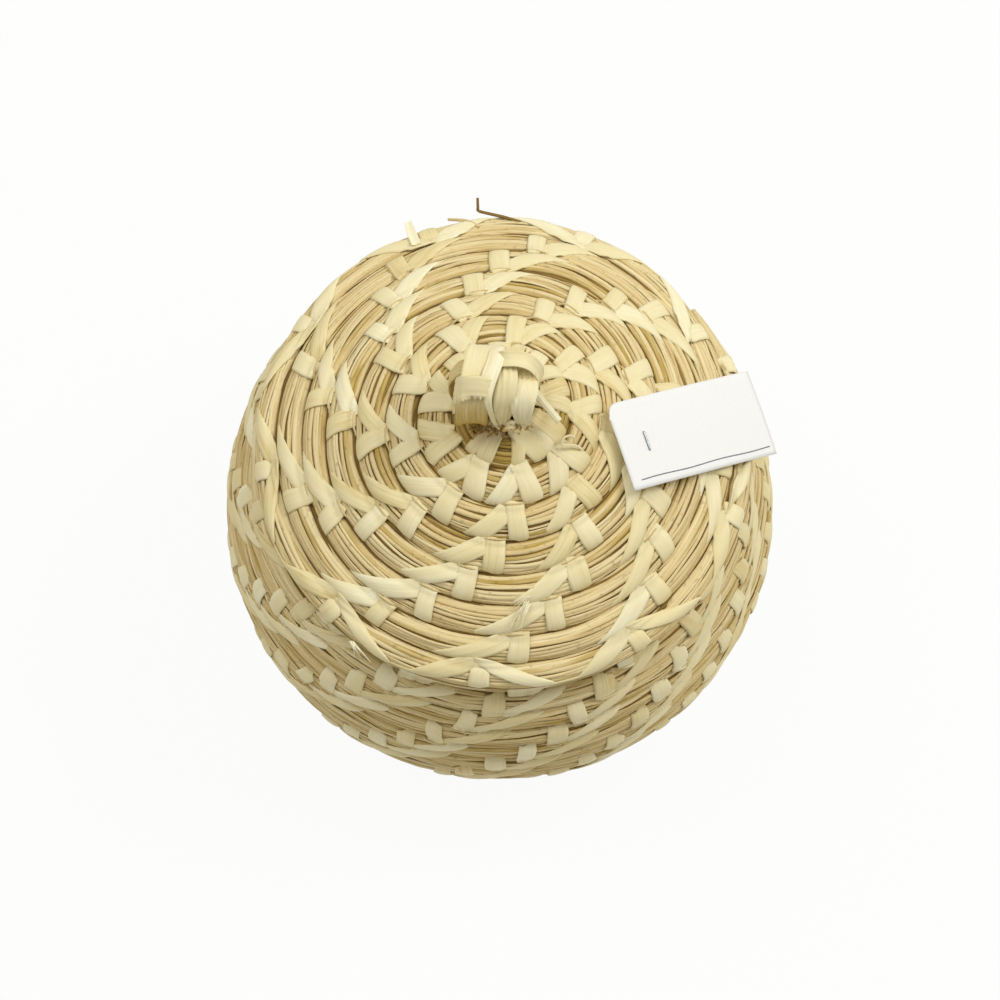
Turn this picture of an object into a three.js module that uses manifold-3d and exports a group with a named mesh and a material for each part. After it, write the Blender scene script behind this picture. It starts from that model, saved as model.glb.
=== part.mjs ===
// A small round basket with a fitted lid, made of coiled grass bundles sewn with split leaf.
// Millimetres, +Z up, the flat base stands on z = 0 with its middle at the origin, and the front
// of the basket faces -Y. Rows are counted along each coil, so a place on a coil is given as a
// number of turns, and a height along the wall is an arc length on its meridian.

import * as THREE from 'three';
import { mergeVertices } from 'three/addons/utils/BufferGeometryUtils.js';
import Module from 'manifold-3d';

// Grass bundles
const basketRows = 18;
const lidRows = 8;
const rowGap = 0.45;
const bundleThickness = 5.6;
const clearance = 0.3;

// Basket wall, to the middle of the bundle: a flat base, a tight foot, a fuller lower wall and a
// shoulder that leans in to the mouth
const bellyRadius = 62;
const footArcRadius = 18;
const footTurn = radians(50);
const lowerArcRadius = 40;
const lowerTurn = radians(40);
const shoulderArcRadius = 70;
const mouthLean = radians(31);

// Lid, a shallow dome that is steeper at its edge. Its rows are wider towards the knob, each by a
// share of the edge row, and are counted as if the coil had begun part of a turn earlier.
const lidOverhang = 1.1;
const lidCrownSlope = radians(20);
const lidEdgeSlope = radians(34);
const lidFirstTurn = 0.425;
const lidRowWidening = 0.0565;

// Seat coil under the lid, which drops inside the mouth
const seatPitch = 5.4;
const seatThickness = 4;
const seatPlay = 0.9;

// Winding: steps in one turn of an outer and of an inner row, and the share of a turn, at the back,
// in which an outer row climbs to the next one
const stepsPerTurn = 24;
const stepsPerInnerTurn = 12;
const innerRadius = 18;
const climbShare = 0.3;
const coilStartTurn = 0.36;
const tailHalfWidth = 0.6;
const tailDip = 0.2;
const backAngle = radians(90);

// Sewing: the stitches of one turn, how far they fall back from row to row, and the split leaf
const lidStitchLines = 9;
const lidStitchShift = radians(10.3);
const basketStitchLines = 14;
const basketStitchShift = radians(6);
const splintHalfWidth = 2.1;
const splintLift = 0.5;
const splintCrown = 0.55;
const slantShare = 0.65;
const mouthStitchReach = 0.1;
const basketSewnRows = 12;
const lidSewnRows = 6;

// Knob of folded leaf on top of the lid, standing a little behind the lid's middle
const leafThickness = 0.6;
const knobSetback = 1.7;
const knobHalfWidth = 9.5;
const knobHalfDepth = 8.5;
const knobHeight = 14;
const knobCoreRadius = 2.6;
const knobCoreHeight = 8;
const knobCoreFoot = -0.5;

// Card tag on the lid's right side, held by a wire staple near its inner end
const cardLength = 42;
const cardWidth = 20;
const cardThickness = 0.4;
const cardCorner = 3;
const cardAzimuth = radians(0.2);
const cardTurn = radians(22);
const cardRadius = 39.9;
const stapleInset = 7.3;
const stapleLength = 4.5;
const stapleWire = 0.5;

function radians(degrees) {
  return degrees * Math.PI / 180;
}

function material(color, roughness, metalness = 0) {
  return new THREE.MeshStandardMaterial({ color, roughness, metalness });
}

const grass = () => material(0xc9b27a, 0.85);
const splint = () => material(0xeadfb4, 0.7);
const card = () => material(0xf4f3ee, 0.8);
const steel = () => material(0x8d8f93, 0.35, 1);

// A closed body through a chain of rings that all have the same number of points
function bodyThroughRings(rings) {
  const sides = rings[0].length;
  const positions = rings.flat().flatMap((point) => [point.x, point.y, point.z]);
  const faces = [];
  for (let ring = 0; ring + 1 < rings.length; ring += 1) {
    for (let side = 0; side < sides; side += 1) {
      const next = (side + 1) % sides;
      const a = ring * sides + side;
      const b = ring * sides + next;
      const c = b + sides;
      const d = a + sides;
      faces.push(a, b, c, a, c, d);
    }
  }
  const last = (rings.length - 1) * sides;
  for (let side = 1; side + 1 < sides; side += 1) {
    faces.push(0, side + 1, side);
    faces.push(last, last + side, last + side + 1);
  }
  return facingOut(positions, faces);
}

// A closed body's faces, turned over as one where they enclose a negative volume
function facingOut(positions, faces) {
  const corner = (index) => new THREE.Vector3().fromArray(positions, 3 * index);
  let volume = 0;
  for (let face = 0; face < faces.length; face += 3) {
    const [a, b, c] = [corner(faces[face]), corner(faces[face + 1]), corner(faces[face + 2])];
    volume += a.dot(b.cross(c));
  }
  const geometry = new THREE.BufferGeometry();
  geometry.setAttribute('position', new THREE.Float32BufferAttribute(positions, 3));
  geometry.setIndex(volume < 0 ? [...faces].reverse() : faces);
  return geometry;
}

const wasm = await Module();
wasm.setup();

// Several closed bodies that reach into each other, as one
function joined(geometries) {
  const solids = geometries.map((geometry) => {
    const merged = mergeVertices(geometry, 1e-4);
    return new wasm.Manifold(new wasm.Mesh({
      numProp: 3,
      vertProperties: new Float32Array(merged.attributes.position.array),
      triVerts: new Uint32Array(merged.index.array),
    }));
  });
  const whole = solids.reduce((sum, solid) => sum.add(solid)).getMesh();
  return facingOut([...whole.vertProperties], [...whole.triVerts]);
}

// A meridian is a chain of straight stretches and arcs in the half plane of radius and height. It
// gives the place and the heading at an arc length. Heading 0 points outwards, 90 degrees up.
function meridian(radius, height, heading, stretches) {
  const pieces = [];
  let from = { start: 0, radius, height, heading };
  for (const { length, turn = 0 } of stretches) {
    const piece = { ...from, length, turn };
    pieces.push(piece);
    from = { start: from.start + length, ...pointOnStretch(piece, length) };
  }
  return {
    length: from.start,
    at(distance) {
      const piece = pieces.findLast((one) => one.start <= distance) ?? pieces[0];
      return pointOnStretch(piece, distance - piece.start);
    },
  };
}

function pointOnStretch({ radius, height, heading, length, turn }, distance) {
  if (turn === 0) {
    return {
      radius: radius + distance * Math.cos(heading),
      height: height + distance * Math.sin(heading),
      heading,
    };
  }
  const arcRadius = length / turn;
  const end = heading + distance / arcRadius;
  return {
    radius: radius + arcRadius * (Math.sin(end) - Math.sin(heading)),
    height: height + arcRadius * (Math.cos(heading) - Math.cos(end)),
    heading: end,
  };
}

// The pitch of a coil's last row, where the earlier rows are wider by a share for each row
function edgePitch(length, rows, firstTurn = 0, widening = 0) {
  const wound = rows - firstTurn;
  return length / (wound * (1 + widening * wound / 2));
}

// Half the width of a row with a pitch, where the rows lie closest to each other
function halfWidth(pitch, rows) {
  return (pitch * (1 - (1 - climbShare) / rows) - rowGap) / 2;
}

// A coil winds along a meridian. Its first row is a plain spiral. Further out each row lies more
// and more level, and climbs to the next row in the last share of the turn, at the back, so that
// the last row makes a level edge. There the tail thins out on top of the climbing row.
function coil({ path, rows, hand, outside, thickness, firstTurn = 0, widening = 0, ring = false }) {
  const lastPitch = edgePitch(path.length, rows, firstTurn, widening);
  const halfOf = (pitch) => (ring ? (pitch - rowGap) / 2 : halfWidth(pitch, rows));
  const endTurn = rows + 1;
  const wound = (turns) => {
    const inTurn = turns - Math.floor(turns);
    const levelShare = 1 - climbShare;
    const raised = Math.max(0, (inTurn - levelShare) / climbShare);
    const eased = raised * raised * (3 - 2 * raised);
    const evenness = ring ? 1 : Math.max(0, (turns - 1) / rows);
    return turns - evenness * (inTurn - eased);
  };
  const row = (turns) => {
    const left = rows - wound(Math.min(turns, endTurn - 1e-9));
    const climbed = path.length - lastPitch * left * (1 + widening * left / 2);
    const full = halfOf(lastPitch * (1 + widening * left));
    const over = Math.max(0, climbed - path.length);
    const half = full - over * (1 + tailDip) / 2;
    return { distance: climbed - full + half, half, full };
  };
  const angle = (turns) => backAngle + hand * 2 * Math.PI * (turns - endTurn);
  // The place at a number of turns, across the row and out from its middle
  const place = (turns, across, out) => {
    const { distance } = row(turns);
    const { radius, height, heading } = path.at(distance);
    const r = radius + across * Math.cos(heading) + out * outside * Math.sin(heading);
    const z = height + across * Math.sin(heading) - out * outside * Math.cos(heading);
    return new THREE.Vector3(r * Math.cos(angle(turns)), r * Math.sin(angle(turns)), z);
  };
  const isInner = (turns) => path.at(row(turns).distance).radius < innerRadius;
  const stops = [];
  let turns = ring ? 0 : firstTurn + coilStartTurn;
  while (row(turns).half > tailHalfWidth) {
    stops.push(turns);
    turns = nextStop(turns, isInner(turns) ? stepsPerInnerTurn : stepsPerTurn);
  }
  return { path, rows, outside, thickness, fullHalf: halfOf(lastPitch), endTurn, row, place, stops };
}

function nextStop(turns, steps) {
  return (Math.floor(turns * steps + 1e-6) + 1) / steps;
}

// Nothing of the basket reaches below the table
function aboveTable(point) {
  return point.setZ(Math.max(0, point.z));
}

// The bundle's section is a flattened hexagon with a flat face out and a flat face in
function bundleSection(laid, turns) {
  const { half, full } = laid.row(turns);
  const out = laid.thickness / 2 * Math.min(1, half / full + 0.3);
  const corners = [[half, 0], [half / 2, out], [-half / 2, out]];
  corners.push([-half, 0], [-half / 2, -out], [half / 2, -out]);
  return corners.map(([across, away]) => aboveTable(laid.place(turns, across, away)));
}

function coilBody(laid) {
  return bodyThroughRings(laid.stops.map((turns) => bundleSection(laid, turns)));
}

// The least distance between the points of a row and those of the next row
function leastGap(laid) {
  const samples = laid.stops.map((turns) => {
    const ring = bundleSection(laid, turns);
    return ring.flatMap((point, index) => {
      const next = ring[(index + 1) % ring.length];
      return [point, point.clone().lerp(next, 0.5)];
    });
  });
  let least = Infinity;
  for (let one = 0; one < samples.length; one += 1) {
    for (let other = one + 1; other < samples.length; other += 1) {
      const apart = laid.stops[other] - laid.stops[one];
      if (apart < 0.4 || apart > 1.4) {
        continue;
      }
      for (const point of samples[one]) {
        for (const far of samples[other]) {
          least = Math.min(least, point.distanceTo(far));
        }
      }
    }
  }
  return least;
}

const object = new THREE.Group();

function addMesh(name, geometry, look, parent = object) {
  const mesh = new THREE.Mesh(geometry, look);
  mesh.name = name;
  parent.add(mesh);
  return mesh;
}

// The basket's bundle
const baseLength = bellyRadius - lowerArcRadius * (1 - Math.cos(lowerTurn))
  - footArcRadius * Math.cos(lowerTurn);
const basketPath = meridian(0, bundleThickness / 2, 0, [
  { length: baseLength },
  { length: footArcRadius * footTurn, turn: footTurn },
  { length: lowerArcRadius * lowerTurn, turn: lowerTurn },
  { length: shoulderArcRadius * mouthLean, turn: mouthLean },
]);
const basketCoil = coil({
  path: basketPath,
  rows: basketRows,
  hand: -1,
  outside: 1,
  thickness: bundleThickness,
});

// The lid's edge row lies on the top of the mouth row
const mouth = basketPath.at(basketPath.length);
const mouthTop = mouth.height + basketCoil.fullHalf / 2 * Math.sin(mouth.heading)
  - bundleThickness / 2 * Math.cos(mouth.heading);
const lidEdgeRadius = mouth.radius + lidOverhang;
const lidArcRadius = lidEdgeRadius / (Math.sin(lidEdgeSlope) - Math.sin(lidCrownSlope));
const lidLength = lidArcRadius * (lidEdgeSlope - lidCrownSlope);
const lidRise = lidArcRadius * (Math.cos(lidCrownSlope) - Math.cos(lidEdgeSlope));
const lidHalf = halfWidth(edgePitch(lidLength, lidRows, lidFirstTurn, lidRowWidening), lidRows);
const lidUnderside = lidHalf / 2 * Math.sin(lidEdgeSlope) + bundleThickness / 2 * Math.cos(lidEdgeSlope);
const lidEdgeHeight = mouthTop + clearance + lidUnderside;
const lidPath = meridian(0, lidEdgeHeight + lidRise, -lidCrownSlope, [
  { length: lidLength, turn: lidCrownSlope - lidEdgeSlope },
]);

// The lid's slope at a radius, and the heights there of its bundle's middle and of its two faces
const lidSlope = (radius) => Math.asin(radius / lidArcRadius + Math.sin(lidCrownSlope));
const middleOfLid = (radius) => lidEdgeHeight + lidRise
  - lidArcRadius * (Math.cos(lidCrownSlope) - Math.cos(lidSlope(radius)));
const undersideOfLid = (radius) => middleOfLid(radius) - bundleThickness / 2 / Math.cos(lidSlope(radius));
const topOfLid = (radius) => middleOfLid(radius) + bundleThickness / 2 / Math.cos(lidSlope(radius));

const lidCoil = coil({
  path: lidPath,
  rows: lidRows,
  hand: 1,
  outside: -1,
  thickness: bundleThickness,
  firstTurn: lidFirstTurn,
  widening: lidRowWidening,
});

// The seat coil hangs under the lid, inside the mouth: one row lies level, then climbs down at the
// back to a second one, which ends under the first one's start
const mouthInside = mouth.radius - bundleThickness / 2 * Math.sin(mouth.heading)
  + basketCoil.fullHalf / 2 * Math.cos(mouth.heading);
const seatRadius = mouthInside - seatPlay - seatThickness / 2;
const seatHalf = (seatPitch - rowGap) / 2;
const seatTop = undersideOfLid(seatRadius + seatThickness / 2) - clearance - seatHalf / 2;
const seatCoil = coil({
  path: meridian(seatRadius, seatTop, radians(-90), [{ length: seatPitch }]),
  rows: 1,
  hand: 1,
  outside: -1,
  thickness: seatThickness,
  ring: true,
});

// Sewing. A stitch's points are given along the row, towards the coil's start, across the row,
// towards its end, and out from the bundle's middle.
function stitchTurns(laid, lines, shift, count) {
  const step = (1 - shift / (2 * Math.PI)) / lines;
  const last = laid.endTurn - climbShare + step;
  return { step, places: Array.from({ length: count }, (_, index) => last - index * step) };
}

function onRow(laid, turns, [along, across, out]) {
  const middle = laid.path.at(laid.row(turns).distance).radius;
  return aboveTable(laid.place(turns - along / (2 * Math.PI * middle), across, out));
}

// A thin strip is a flat triangle in section: two edges and a low ridge between them
function strip(laid, turns, [first, second]) {
  const ridge = first.map((value, index) => (value + second[index]) / 2);
  ridge[2] += splintCrown;
  return [first, second, ridge].map((point) => onRow(laid, turns, point));
}

// One stitch: straight over the row towards its older edge, then slanting back over it, away from
// the coil's end, and on along the edge to the next stitch
function stitchSections(laid, turns, spacing) {
  const e = laid.row(turns).half;
  const isMouthRow = laid.outside > 0 && turns > laid.rows - climbShare / 2;
  const upper = isMouthRow ? mouthStitchReach : 1;
  const over = laid.thickness / 2 + splintLift;
  const share = Math.min(1, spacing / 14);
  const w = splintHalfWidth * share;
  const tip = slantShare * spacing;
  const middle = (w + tip) / 2;
  return [
    [[-w, 0.52 * upper * e, over], [w, 0.78 * upper * e, over]],
    [[-w, -0.5 * e, over], [w, -0.3 * e, over]],
    [[-0.6 * w, -0.93 * e, over - 0.8], [w + 0.15, -0.42 * e, over]],
    [[w + 2.2 * share, -0.8 * e, over - 0.2], [w + 0.6, -0.3 * e, over]],
    [[middle + 0.9 * share, -0.48 * e, over], [middle - 0.6 * share, 0.5 * upper * e, over]],
    [[tip + 0.4, 0.58 * upper * e, over], [tip - 0.5, 0.88 * upper * e, over - 0.1]],
  ];
}

function sewnRow(laid, places, step) {
  const rings = [];
  for (const turns of places) {
    const spacing = 2 * Math.PI * step * laid.path.at(laid.row(turns).distance).radius;
    for (const section of stitchSections(laid, turns, spacing)) {
      rings.push(strip(laid, turns, section));
    }
  }
  return bodyThroughRings(rings);
}

function sewnRows(name, laid, { step, places }, lines) {
  for (let row = 0; row * lines < places.length; row += 1) {
    const stitches = places.slice(row * lines, (row + 1) * lines);
    addMesh(`${name}_${String(row + 1).padStart(2, '0')}`, sewnRow(laid, stitches, step), splint());
  }
}

// The lid's edge row has straight stitches, and a splint laced in a zigzag from the head of each
// stitch to the edge halfway to the next one
function lacedRow(laid, places, step) {
  const e = laid.fullHalf;
  const over = laid.thickness / 2 + splintLift;
  const w = splintHalfWidth;
  const spacing = 2 * Math.PI * step * laid.path.at(laid.path.length).radius;
  const straight = [
    [[-w, 0.85 * e, over - 0.7], [w, 0.85 * e, over - 0.7]],
    [[-w, 0.45 * e, over], [w, 0.45 * e, over]],
    [[-w, -0.45 * e, over], [w, -0.45 * e, over]],
    [[-w, -0.93 * e, over - 0.8], [w, -0.93 * e, over - 0.8]],
  ];
  const down = [
    [[0.11 * spacing, -0.1 * e, over], [0.15 * spacing, -0.75 * e, over - 0.1]],
    [[0.22 * spacing, 0.4 * e, over], [0.28 * spacing, -0.35 * e, over]],
    [[0.35 * spacing, 0.75 * e, over - 0.1], [0.41 * spacing, 0.15 * e, over]],
  ];
  const mirrored = ([along, across, out]) => [spacing - along, across, out];
  const up = down.map((section) => section.map(mirrored)).reverse();
  const head = [[0, -0.5 * e, over + 0.1], [0, -0.95 * e, over - 0.4]];
  const edge = [[0.5 * spacing, 0.98 * e, over - 0.4], [0.5 * spacing, 0.55 * e, over]];
  const zigzag = [head, ...down, edge, ...up];
  const straps = places.map((turns) => bodyThroughRings(straight.map((part) => strip(laid, turns, part))));
  const lace = places.slice(0, -1).flatMap((turns) => zigzag.map((part) => strip(laid, turns, part)));
  lace.push(strip(laid, places.at(-1), zigzag[0]));
  return joined([bodyThroughRings(lace), ...straps]);
}

// A leaf of the knob: a flat strip along a smooth line through a few points. Each point has the
// place and the leaf's width there, in shares of the knob's size, and the direction of its width.
function leafBody(points, steps = 14) {
  const vector = (values) => new THREE.Vector3(...values);
  const size = vector([knobHalfWidth, knobHalfDepth, knobHeight]);
  const line = new THREE.CatmullRomCurve3(points.map(({ at }) => vector(at).multiply(size)));
  const side = new THREE.CatmullRomCurve3(points.map(({ across }) => vector(across)));
  const width = new THREE.CatmullRomCurve3(points.map(({ wide }) => vector([wide, 0, 0])));
  const rings = [];
  for (let step = 0; step <= steps; step += 1) {
    const share = step / steps;
    const centre = line.getPoint(share);
    const along = line.getTangent(share);
    const across = side.getPoint(share).projectOnPlane(along).normalize();
    const up = along.clone().cross(across);
    const half = width.getPoint(share).x * knobHalfWidth / 2;
    rings.push([[-1, -1], [1, -1], [1, 1], [-1, 1]].map(([sign, level]) => centre.clone()
      .addScaledVector(across, sign * half)
      .addScaledVector(up, level * leafThickness / 2)));
  }
  return bodyThroughRings(rings);
}

function knobCore() {
  const shoulder = 1;
  const profile = [[0, knobCoreFoot], [knobCoreRadius, knobCoreFoot]];
  profile.push([knobCoreRadius, knobCoreHeight - shoulder], [knobCoreRadius - shoulder, knobCoreHeight]);
  profile.push([0, knobCoreHeight]);
  const turned = new THREE.LatheGeometry(profile.map(([x, y]) => new THREE.Vector2(x, y)), 16);
  return turned.rotateX(Math.PI / 2);
}

// A point just over the lid's bundle, where a leaf of the knob comes out of it
function onLid(x, y, lift = clearance) {
  const radius = Math.hypot(x * knobHalfWidth, y * knobHalfDepth + knobSetback);
  return [x, y, (topOfLid(radius) - topOfLid(0) + lift + leafThickness / 2) / knobHeight];
}

const knobLeaves = {
  knob_left_leaf: [
    { at: onLid(-0.274, -0.659), wide: 0.379, across: [1, 0, 0] },
    { at: [-0.4, -0.824, 0.25], wide: 0.589, across: [1, 0, 0] },
    { at: [-0.463, -0.729, 0.643], wide: 0.695, across: [1, 0, 0] },
    { at: [-0.474, -0.306, 0.943], wide: 0.716, across: [1, 0, 0] },
    { at: [-0.463, 0.259, 1.021], wide: 0.716, across: [1, 0, 0] },
    { at: [-0.442, 0.776, 0.829], wide: 0.695, across: [1, 0, 0] },
    { at: [-0.421, 1.012, 0.429], wide: 0.611, across: [1, 0, 0] },
    { at: [-0.337, 0.894, 0.036], wide: 0.463, across: [1, 0, 0] },
    { at: onLid(-0.295, 0.729), wide: 0.379, across: [1, 0, 0] },
  ],
  knob_right_leaf: [
    { at: onLid(0.337, -0.635), wide: 0.337, across: [1, 0, 0] },
    { at: [0.432, -0.776, 0.2], wide: 0.505, across: [1, 0, 0] },
    { at: [0.505, -0.682, 0.529], wide: 0.653, across: [1, 0, 0] },
    { at: [0.526, -0.306, 0.786], wide: 0.716, across: [1, 0, 0] },
    { at: [0.516, 0.188, 0.871], wide: 0.716, across: [1, 0, 0] },
    { at: [0.484, 0.635, 0.729], wide: 0.653, across: [1, 0, 0] },
    { at: [0.442, 0.871, 0.371], wide: 0.547, across: [1, 0, 0] },
    { at: [0.358, 0.812, 0.036], wide: 0.421, across: [1, 0, 0] },
    { at: onLid(0.326, 0.706), wide: 0.337, across: [1, 0, 0] },
  ],
  knob_left_band: [
    { at: onLid(-0.758, -0.188), wide: 0.421, across: [0, 1, 0] },
    { at: [-0.979, -0.259, 0.214], wide: 0.526, across: [0, 1, 0.1] },
    { at: [-1.032, -0.424, 0.614], wide: 0.589, across: [0, 0.9, 0.4] },
    { at: [-0.863, -0.624, 0.9], wide: 0.589, across: [0, 0.75, 0.65] },
    { at: [-0.463, -0.694, 0.95], wide: 0.589, across: [0, 0.7, 0.7] },
    { at: [-0.105, -0.694, 0.936], wide: 0.484, across: [0, 0.75, 0.6] },
    { at: [0.026, -0.659, 0.771], wide: 0.379, across: [0, 1, 0.2] },
    { at: [0.032, -0.635, 0.393], wide: 0.358, across: [0, 1, 0] },
    { at: onLid(0.032, -0.624), wide: 0.337, across: [0, 1, 0] },
  ],
  knob_right_band: [
    { at: onLid(0.032, 0.659, 0.6), wide: 0.358, across: [0, 1, 0] },
    { at: [0.032, 0.694, 0.429], wide: 0.379, across: [0, 1, 0] },
    { at: [0.032, 0.706, 0.857], wide: 0.442, across: [0, 1, -0.1] },
    { at: [0.211, 0.694, 1.014], wide: 0.484, across: [0, 0.9, -0.4] },
    { at: [0.526, 0.635, 1.021], wide: 0.505, across: [0, 0.86, -0.5] },
    { at: [1.011, 0.459, 0.857], wide: 0.505, across: [0, 0.9, -0.4] },
    { at: [1.095, 0.306, 0.4], wide: 0.463, across: [0, 1, -0.1] },
    { at: [1.011, 0.212, -0.043], wide: 0.379, across: [0, 1, 0] },
    { at: onLid(0.947, 0.188, 0.55), wide: 0.337, across: [0, 1, 0] },
  ],
  knob_front_leaf: [
    { at: onLid(-0.021, -0.882), wide: 0.232, across: [1, 0, 0] },
    { at: [-0.021, -1.024, 0.214], wide: 0.316, across: [1, 0.1, 0] },
    { at: [0.042, -1.082, 0.5], wide: 0.421, across: [1, 0.2, 0] },
    { at: [0.084, -1.035, 0.757], wide: 0.463, across: [1, 0.1, 0] },
  ],
  knob_knot: [
    { at: onLid(0.253, -0.929), wide: 0.232, across: [0, 1, 0] },
    { at: [0.284, -1.024, 0.1], wide: 0.253, across: [0, 1, 0] },
    { at: [0.421, -1.047, 0.179], wide: 0.253, across: [0, 1, 0] },
    { at: [0.558, -1, 0.093], wide: 0.253, across: [0, 1, 0] },
    { at: onLid(0.579, -0.894), wide: 0.232, across: [0, 1, 0] },
  ],
};

// The card is cut with one corner rounded more than the others, and has two holes for the staple
function cardSheet() {
  const right = cardLength / 2;
  const top = cardWidth / 2;
  const outline = new THREE.Shape();
  outline.moveTo(-right, -top);
  outline.lineTo(right, -top);
  outline.lineTo(right, top);
  outline.lineTo(cardCorner - right, top);
  outline.quadraticCurveTo(-right, top, -right, top - cardCorner);
  outline.closePath();
  const hole = stapleWire / 2 + clearance;
  for (const sign of [-1, 1]) {
    const [x, y] = [stapleInset - right, sign * (stapleLength - stapleWire) / 2];
    const corners = [[-hole, -hole], [-hole, hole], [hole, hole], [hole, -hole]];
    outline.holes.push(new THREE.Path(corners.map(([dx, dy]) => new THREE.Vector2(x + dx, y + dy))));
  }
  const thick = { depth: cardThickness, bevelEnabled: false, curveSegments: 6 };
  return new THREE.ExtrudeGeometry(outline, thick);
}

// A wire staple: its crown lies over the card and its two legs go down through it
function staple() {
  const h = stapleWire / 2;
  const reach = stapleLength / 2;
  const low = 0.05;
  const high = cardThickness + clearance;
  const bend = [
    [[-reach, low], [-reach + stapleWire, low]],
    [[-reach, high + stapleWire], [-reach + stapleWire, high]],
    [[reach, high + stapleWire], [reach - stapleWire, high]],
    [[reach, low], [reach - stapleWire, low]],
  ];
  return bodyThroughRings(bend.map(([[y, z], [y2, z2]]) => [
    new THREE.Vector3(-h, y, z), new THREE.Vector3(h, y, z),
    new THREE.Vector3(h, y2, z2), new THREE.Vector3(-h, y2, z2),
  ]));
}

addMesh('basket_coil', coilBody(basketCoil), grass());
addMesh('lid_coil', coilBody(lidCoil), grass());
addMesh('lid_seat_coil', coilBody(seatCoil), grass());

for (const [name, laid] of Object.entries({ basketCoil, lidCoil, seatCoil })) {
  console.log(`least gap of ${name} to itself ${leastGap(laid).toFixed(2)} mm`);
}

// The base stands on its bare bundle, so only the rows of the wall have stitches outside. The lid's
// edge row has one stitch more than a turn, and the rows within it follow on.
const basketStitchCount = basketSewnRows * basketStitchLines;
const basketStitches = stitchTurns(basketCoil, basketStitchLines, basketStitchShift, basketStitchCount);
const lidStitchCount = (lidSewnRows + 1) * lidStitchLines + 1;
const lidStitches = stitchTurns(lidCoil, lidStitchLines, lidStitchShift, lidStitchCount);
sewnRows('basket_splint', basketCoil, basketStitches, basketStitchLines);
const lidEdgeStitches = lidStitches.places.splice(0, lidStitchLines + 1);
addMesh('lid_edge_lacing', lacedRow(lidCoil, lidEdgeStitches, lidStitches.step), splint());
sewnRows('lid_splint', lidCoil, lidStitches, lidStitchLines);

const knob = new THREE.Group();
knob.position.set(0, knobSetback, topOfLid(0));
object.add(knob);
addMesh('knob_core', knobCore(), splint(), knob);
for (const [name, points] of Object.entries(knobLeaves)) {
  addMesh(name, leafBody(points), splint(), knob);
}

// The card lies on the lid's stitches, sloping down the lid and out over its edge
const cardLift = bundleThickness / 2 + splintLift + splintCrown + clearance;
const label = new THREE.Group();
label.rotation.set(0, 0, cardAzimuth);
const tilt = new THREE.Group();
tilt.position.set(cardRadius, 0, middleOfLid(cardRadius));
tilt.rotation.set(0, lidSlope(cardRadius), 0);
const flat = new THREE.Group();
flat.position.set(0, 0, cardLift);
flat.rotation.set(0, 0, cardTurn);
object.add(label);
label.add(tilt);
tilt.add(flat);
addMesh('label_card', cardSheet(), card(), flat);
const stapleMesh = addMesh('label_staple', staple(), steel(), flat);
stapleMesh.position.set(stapleInset - cardLength / 2, 0, 0);

export default object;
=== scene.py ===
import math

import bpy
import numpy as np
from bpy.props import FloatProperty, FloatVectorProperty, IntProperty, PointerProperty
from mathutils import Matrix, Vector


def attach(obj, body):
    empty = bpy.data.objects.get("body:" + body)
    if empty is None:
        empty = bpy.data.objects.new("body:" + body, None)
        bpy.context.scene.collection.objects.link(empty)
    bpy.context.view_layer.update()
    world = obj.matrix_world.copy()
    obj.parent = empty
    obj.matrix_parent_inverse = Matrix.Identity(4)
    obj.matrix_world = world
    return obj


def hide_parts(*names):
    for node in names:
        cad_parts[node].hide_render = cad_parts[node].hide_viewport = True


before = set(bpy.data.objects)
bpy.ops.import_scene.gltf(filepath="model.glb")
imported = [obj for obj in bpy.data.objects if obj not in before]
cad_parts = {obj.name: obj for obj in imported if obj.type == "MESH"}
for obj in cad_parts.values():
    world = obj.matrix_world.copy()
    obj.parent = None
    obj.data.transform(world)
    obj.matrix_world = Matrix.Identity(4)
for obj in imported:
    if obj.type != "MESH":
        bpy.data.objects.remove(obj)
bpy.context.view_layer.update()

bl_info = {
    "name": "Lidded Coiled Basket",
    "version": (1, 0, 0),
    "blender": (4, 5, 0),
    "location": "3D View > Sidebar > Basket",
    "description": "A small round basket coiled from bear grass and sewn with split yucca leaf",
    "category": "Add Mesh",
}

MM = 0.001


def linear(hex_colour):
    """An sRGB hex colour as linear RGB."""
    values = [int(hex_colour[i:i + 2], 16) / 255 for i in (1, 3, 5)]
    return tuple(v / 12.92 if v <= 0.04045 else ((v + 0.055) / 1.055) ** 2.4 for v in values)


# Sizes and colours that a user would change


class BasketSizes(bpy.types.PropertyGroup):
    stem_width: FloatProperty(
        name="Stem Width", description="Middle width of a grass stem",
        default=0.00078, unit="LENGTH", subtype="DISTANCE")
    stems: IntProperty(
        name="Stems", description="Stems that show around the bundle", default=25)
    splint_width: FloatProperty(
        name="Splint Width", description="Width of the split leaf that sews the rows",
        default=0.0043, unit="LENGTH", subtype="DISTANCE")
    slant_width: FloatProperty(
        name="Slant Width", description="Width of a slanting splint at its middle",
        default=0.0042, unit="LENGTH", subtype="DISTANCE")
    camera_elevation: FloatProperty(
        name="Camera Elevation", description="How far the camera looks down",
        default=math.radians(71.4), unit="ROTATION", subtype="ANGLE")
    camera_distance: FloatProperty(
        name="Camera Distance", description="From the camera to the basket's middle",
        default=0.76, unit="LENGTH", subtype="DISTANCE")


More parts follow.
